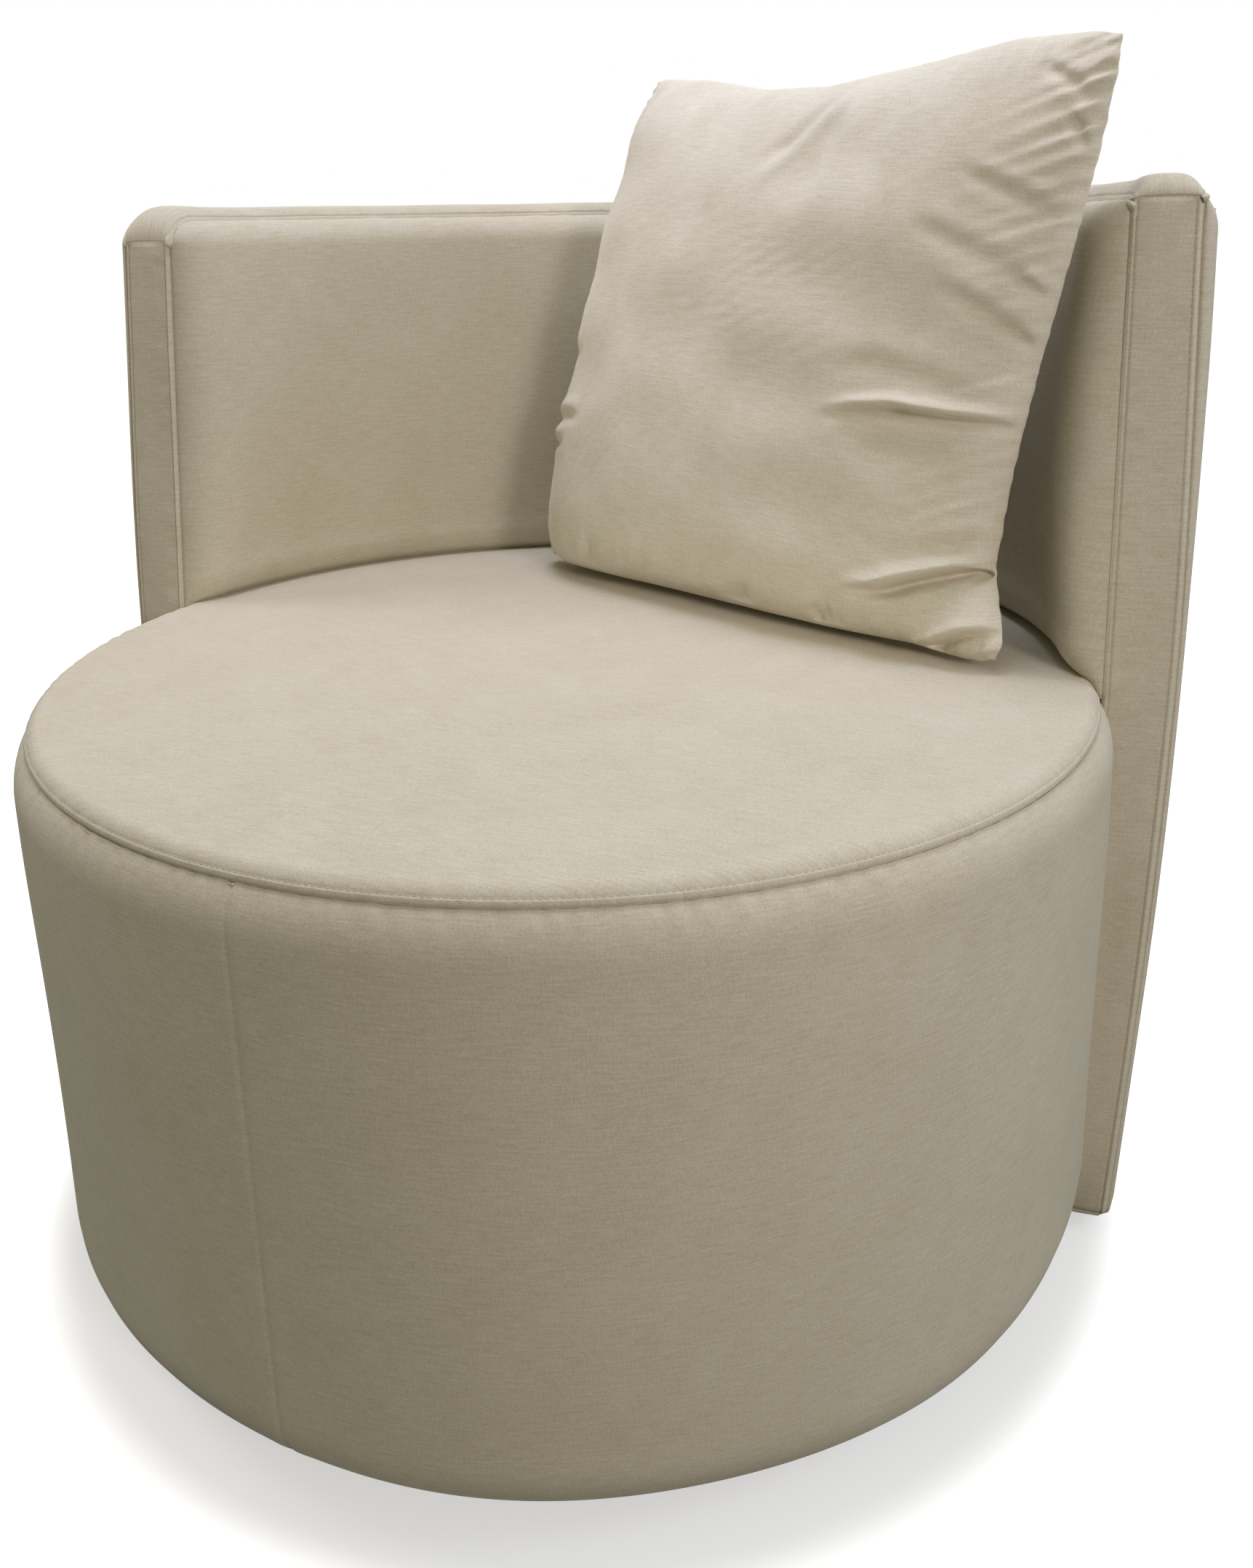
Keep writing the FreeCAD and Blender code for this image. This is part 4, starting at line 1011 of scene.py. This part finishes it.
def cushion():
    """Scatter cushion: its form settled as cloth, creased and set between its corners in the chair."""
    columns, rows = cushion_cells
    size = np.array([cushion_width, cushion_height, 1])
    slack = [1, 1, cushion_slack]
    start = both_panels(cushion_form(1) * slack, cushion_form(-1) * slack) * size
    settled = start
    front, behind, faces = panel_faces(rows, columns)
    rim = np.unique(np.concatenate([front[0], front[-1], front[:, 0], front[:, -1]]))
    u, v = start[:, 0] / cushion_width, start[:, 1] / cushion_height
    least, more = cushion_growth
    growth = least + more * smooth(*growth_across, u) * smooth(*growth_high, v)
    growth[front.size:] = cushion_behind_growth
    move = simulated(start, faces, rim, growth) - start
    far = np.linalg.norm(move, axis=1)[:, None]
    settled = start + move * np.minimum(1, cushion_reach / np.maximum(far, cushion_reach))
    settled = settled / size
    panels = [creased(doubled(settled[front])), doubled(settled[behind])]
    points = both_panels(*[set_in_place(panel) for panel in panels])
    weave = both_panels(*panels)[:, :2] * size[:2]
    faces = panel_faces(2 * rows, 2 * columns)[2].tolist()
    piece = placed("cushion", woven_mesh("cushion", points, faces, weave))
    finer = piece.modifiers.new("finer", "SUBSURF")
    finer.levels = finer.render_levels = 1
    return piece


def along_line(place, line):
    """How far along a line each place is, as a share of it, and how far off to its left."""
    runs = np.diff(line, axis=0)
    lengths = np.hypot(runs[:, 0], runs[:, 1])
    share = np.zeros(place.shape[:-1])
    off = np.full(place.shape[:-1], 1.0)
    passed = 0
    for first, run, length in zip(line, runs, lengths):
        reach = place - first
        at = np.clip(reach @ run / length ** 2, 0, 1)
        gap = reach - at[..., None] * run
        distance = np.hypot(gap[..., 0], gap[..., 1])
        side = np.sign(run[0] * reach[..., 1] - run[1] * reach[..., 0])
        closer = distance < np.abs(off)
        off = np.where(closer, side * distance, off)
        share = np.where(closer, (passed + at * length) / lengths.sum(), share)
        passed = passed + length
    return share, off


def creased(panel):
    """Presses the photographed folds, wrinkles and seam puckers into the cushion's front."""
    u, v, depth = np.moveaxis(panel, -1, 0)
    size = np.array([cushion_width, cushion_height])
    place = np.stack([u, v], axis=-1) * size
    round_way, up_way = np.moveaxis(place, -1, 0)
    margins = (u[:, -1:] - u, u - u[:, :1], v - v[:1], v[-1:] - v)
    inside = np.clip(depth / crease_room, 0, 1)
    for margin in margins:
        inside = inside * smooth(0, crease_margin, margin)
    ridge_off, ridge_wide = crease_ridge
    for line, deep, wide, ridge in cushion_creases:
        along, off = along_line(place, np.array(line) * size)
        reach = smooth(0, crease_end, along) * smooth(1, 1 - crease_end, along) * inside
        beside = ridge * bump(off - ridge_off * wide, ridge_wide * wide)
        depth = depth - reach * deep * (bump(off, wide) - beside)
    crushed = waves(round_way, up_way, cushion_crushed)
    for share, (middle, half_width) in ((u, crushed_across), (v, crushed_high)):
        crushed = crushed * bump(share - middle, half_width)
    depth = depth + inside * (waves(round_way, up_way, cushion_broad) + crushed)
    rise, fall, length = cushion_pucker_size
    scales = (cushion_width, cushion_width, cushion_height, cushion_height)
    ways = (up_way, up_way, round_way, round_way)
    for margin, scale, way, (high, slant, seed) in zip(margins, scales, ways, cushion_puckers):
        away = margin * scale
        pucker = ripple(way + slant * away, 0, (length, 1), seed)
        depth = depth + high * smooth(0, rise, away) * np.exp(-away / fall) * pucker
    high, fall, length, seed = cushion_scallop
    scallop = high * np.exp(-margins[0] * cushion_width / fall) * ripple(up_way, 0, (length, 1), seed)
    return np.stack([u + scallop / cushion_width, v, depth], axis=-1)


def set_in_place(panel):
    """Places points of shares and depth between the cushion's four corners in the chair."""
    u, v, depth = (panel[..., k:k + 1] for k in range(3))
    low_left, low_right, top_right, top_left = (np.array(place) for place in cushion_corners)
    place = (1 - v) * ((1 - u) * low_left + u * low_right) + v * ((1 - u) * top_left + u * top_right)
    along = (1 - v) * (low_right - low_left) + v * (top_right - top_left)
    stand = (1 - u) * (top_left - low_left) + u * (top_right - low_right)
    front = np.cross(along, stand)
    front /= np.linalg.norm(front, axis=-1)[..., None]
    return place + front * depth


# Materials

def links_of(name):
    """A new material with its node tree and its shader."""
    material = bpy.data.materials.new(name)
    material.use_nodes = True
    tree = material.node_tree
    return material, tree, tree.nodes["Principled BSDF"]


def feed(tree, made, inputs):
    """Sets inputs of a node, each to a value or to another node's socket."""
    for key, value in inputs.items():
        if isinstance(value, bpy.types.NodeSocket):
            tree.links.new(value, made.inputs[key])
        else:
            made.inputs[key].default_value = value


def node(tree, kind, inputs=None, output=0, **settings):
    """An output of a new node with its inputs and settings."""
    made = tree.nodes.new(kind)
    for key, value in settings.items():
        setattr(made, key, value)
    feed(tree, made, inputs or {})
    return made.outputs[output]


def worked(tree, operation, *values):
    """Result of an arithmetic node."""
    return node(tree, "ShaderNodeMath", dict(enumerate(values)), operation=operation)


def scaled(tree, place, scale):
    """A texture's place, scaled along each axis."""
    return node(tree, "ShaderNodeMapping", {"Vector": place, "Scale": scale})


def noise(tree, place, scale, detail=4, rough=0.5):
    """Irregular grain from 0 to 1."""
    return node(tree, "ShaderNodeTexNoise", {"Vector": place, "Scale": scale, "Detail": detail,
                                             "Roughness": rough})


def linear(red, green, blue):
    """Colour from the 0 to 255 values it should render as."""
    def one(value):
        share = value / 255
        return share / 12.92 if share <= 0.04045 else ((share + 0.055) / 1.055) ** 2.4
    return (one(red), one(green), one(blue), 1)


def surface(tree, shader, share, light, dark, height, relief):
    """Colours a shader between two tones by a share, and gives it the relief of a height."""
    colour = node(tree, "ShaderNodeMix", {"Factor": share, 6: linear(*dark), 7: linear(*light)}, 2,
                  data_type="RGBA")
    strength, depth = relief
    normal = node(tree, "ShaderNodeBump", {"Height": height, "Strength": strength, "Distance": depth})
    feed(tree, shader, {"Base Color": colour, "Normal": normal})


def cloth_material(name, light, dark, pile):
    """Brushed woven cloth: fine weave, slubs along the weft and soft marks in its pile."""
    material, tree, shader = links_of(name)
    weave = node(tree, "ShaderNodeUVMap", uv_map="weave")
    place = node(tree, "ShaderNodeTexCoord", output="Object")
    slub = noise(tree, scaled(tree, weave, slub_scale), *slub_noise)
    warp = noise(tree, scaled(tree, weave, warp_scale), *warp_noise)
    nap = noise(tree, place, *nap_noise)
    grain = noise(tree, place, *grain_noise)
    streaks = worked(tree, "MULTIPLY_ADD", warp, warp_share, slub)
    fine = worked(tree, "MULTIPLY_ADD", grain, grain_share, streaks)
    marked = worked(tree, "ADD", fine, worked(tree, "MULTIPLY", nap, pile))
    low, high = (base + pile * more for base, more in (cloth_dark_end, cloth_light_end))
    share = node(tree, "ShaderNodeMapRange", {"Value": marked, "From Min": low, "From Max": high})
    surface(tree, shader, share, light, dark, fine, cloth_relief)
    feed(tree, shader, cloth_surface)
    return material


def plain_material(name, light, dark, scale, stretch=(1, 1, 1), roughness=0.6, metal=0.0, depth=0.0002):
    """A material of two close tones in an irregular grain, with a little relief."""
    material, tree, shader = links_of(name)
    place = node(tree, "ShaderNodeTexCoord", output="Object")
    grain = noise(tree, scaled(tree, place, stretch), scale)
    surface(tree, shader, grain, light, dark, grain, (plain_relief, depth))
    feed(tree, shader, {"Roughness": roughness, "Metallic": metal})
    return material


def slot_materials():
    """A material for each of the record's slots that a CAD node shows."""
    return {name: plain_material(name, light, dark, scale, **rest)
            for name, (light, dark, scale, rest) in slot_looks.items()}


chair_cloth = cloth_material("chair_cloth", (214, 207, 190), (190, 180, 156), 0.5)
thread = plain_material("thread", (196, 187, 166), (176, 166, 143), 900, roughness=0.7)
cushion_cloth = cloth_material("cushion_cloth", (232, 225, 210), (205, 196, 174), 0.9)


# Pieces and what they stand for

def finished(piece, body, slot, material, *nodes):
    """Gives a piece its material and its body, and hides the CAD nodes it stands for; its slot is not used.
    """
    piece.data.materials.append(material)
    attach(piece, body)
    if nodes:
        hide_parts(*nodes)
    return piece


def dress():
    """Makes every visible cloth piece."""
    for piece, nodes, fill in (
            (seat_top(), ["seat_cover"], 0.9),
            (drum_side(), ["drum_side_cover"], 0.9),
            (inner_pad(), ["back_inner_cover"], 0.9),
            (top_band(), ["top_band_cover", "top_band_foam"], 0.9),
            (outer_back(), ["back_outer_cover"], 0.9),
            (arm_front("arm_front_right", 1, 1.0), ["arm_front_cover_right", "arm_front_foam_right"], 0.9),
            (arm_front("arm_front_left", -1, 0.1), ["arm_front_cover_left", "arm_front_foam_left"], 0.9)):
        finished(piece, "chair", "chair_fabric", chair_cloth, *nodes)
    finished(stitches(), "chair", "chair_fabric", thread)
    loose = finished(cushion(), "cushion", "cushion_fabric", cushion_cloth, "cushion_cover",
                     "cushion_insert")


def dress_frame():
    """Gives every CAD node that stays its own material."""
    materials = slot_materials()
    for part in frame["record"]["subparts"]:
        holder = frame["nodes"][part["node"]]
        material = materials.get(part["material_slot"], chair_cloth)
        for thing in [holder] + list(holder.children_recursive):
            if thing.type == "MESH":
                for slot in thing.material_slots:
                    slot.material = material


# Floor, light and camera

def floor():
    """Plain floor: white for the camera away from the chair; near its foot a weaker glow paints a shadow
    ring, inside which the lamps' shadow on it shows.
    """
    points = [(x * floor_reach, y * floor_reach, 0) for x, y in ((-1, -1), (1, -1), (1, 1), (-1, 1))]
    ground = linked("floor", new_mesh("floor", points, [(0, 1, 2, 3)]))
    material, tree, shader = links_of("floor")
    feed(tree, shader, {"Base Color": floor_bounce, "Roughness": floor_roughness, "Specular IOR Level": 0})
    place = node(tree, "ShaderNodeTexCoord", output="Object")
    away = node(tree, "ShaderNodeVectorMath", {0: place}, "Value", operation="LENGTH")
    # Weaker glow near the chair's foot paints a shadow ring; only inside it does the lamps' shadow show
    white = node(tree, "ShaderNodeMapRange", {"Value": away, "From Min": painted_shadow_fade_start, "From Max": painted_shadow_fade_end,
                                              "To Min": glow_in_painted_shadow, "To Max": 1.0},
                 interpolation_type="SMOOTHSTEP")
    glow = node(tree, "ShaderNodeEmission", {"Color": (1, 1, 1, 1), "Strength": white})
    pale = node(tree, "ShaderNodeBsdfDiffuse", {"Color": floor_seen})
    both = node(tree, "ShaderNodeAddShader", {0: pale, 1: glow})
    direct = node(tree, "ShaderNodeLightPath", output="Is Camera Ray")
    seen = node(tree, "ShaderNodeMixShader", {"Fac": direct, 1: shader.outputs[0], 2: both})
    feed(tree, tree.nodes["Material Output"], {"Surface": seen})
    ground.data.materials.append(material)


def world():
    """Soft fill from all round; the camera sees white."""
    made = bpy.data.worlds.new("world")
    bpy.context.scene.world = made
    made.use_nodes = True
    tree = made.node_tree
    direct, glossy, through = (node(tree, "ShaderNodeLightPath", output=f"Is {kind} Ray")
                               for kind in ("Camera", "Glossy", "Transmission"))
    fill = node(tree, "ShaderNodeBackground", {"Color": world_fill, "Strength": world_strength})
    white = node(tree, "ShaderNodeBackground", {"Color": (1, 1, 1, 1), "Strength": 1})
    clear = worked(tree, "MAXIMUM", worked(tree, "MAXIMUM", direct, glossy), through)
    seen = node(tree, "ShaderNodeMixShader", {"Fac": clear, 1: fill, 2: white})
    feed(tree, tree.nodes["World Output"], {"Surface": seen})


def lamp(name, place, size, power, colour):
    """A broad square lamp that faces the chair."""
    data = bpy.data.lights.new(name, "AREA")
    data.shape = "SQUARE"
    data.size = size
    data.energy = power
    data.color = colour
    made = linked(name, data)
    made.location = place
    made.rotation_euler = (Vector(place) - Vector(lamp_aim)).to_track_quat("Z", "Y").to_euler()


def camera():
    """Camera at the photograph's view."""
    data = bpy.data.cameras.new("camera")
    data.sensor_width = camera_sensor
    data.lens = camera_lens
    data.clip_start = camera_near
    eye = linked("camera", data)
    place = Vector(camera_place)
    aim = (Vector(camera_target) - place).to_track_quat("-Z", "Y").to_matrix()
    turned = aim @ Matrix.Rotation(camera_roll, 3, "Z")
    eye.matrix_world = Matrix.Translation(place) @ turned.to_4x4()
    bpy.context.scene.camera = eye


dress()
dress_frame()
floor()
world()
for look in lamps:
    lamp(*look)
camera()
bpy.context.scene.view_settings.view_transform = "Standard"
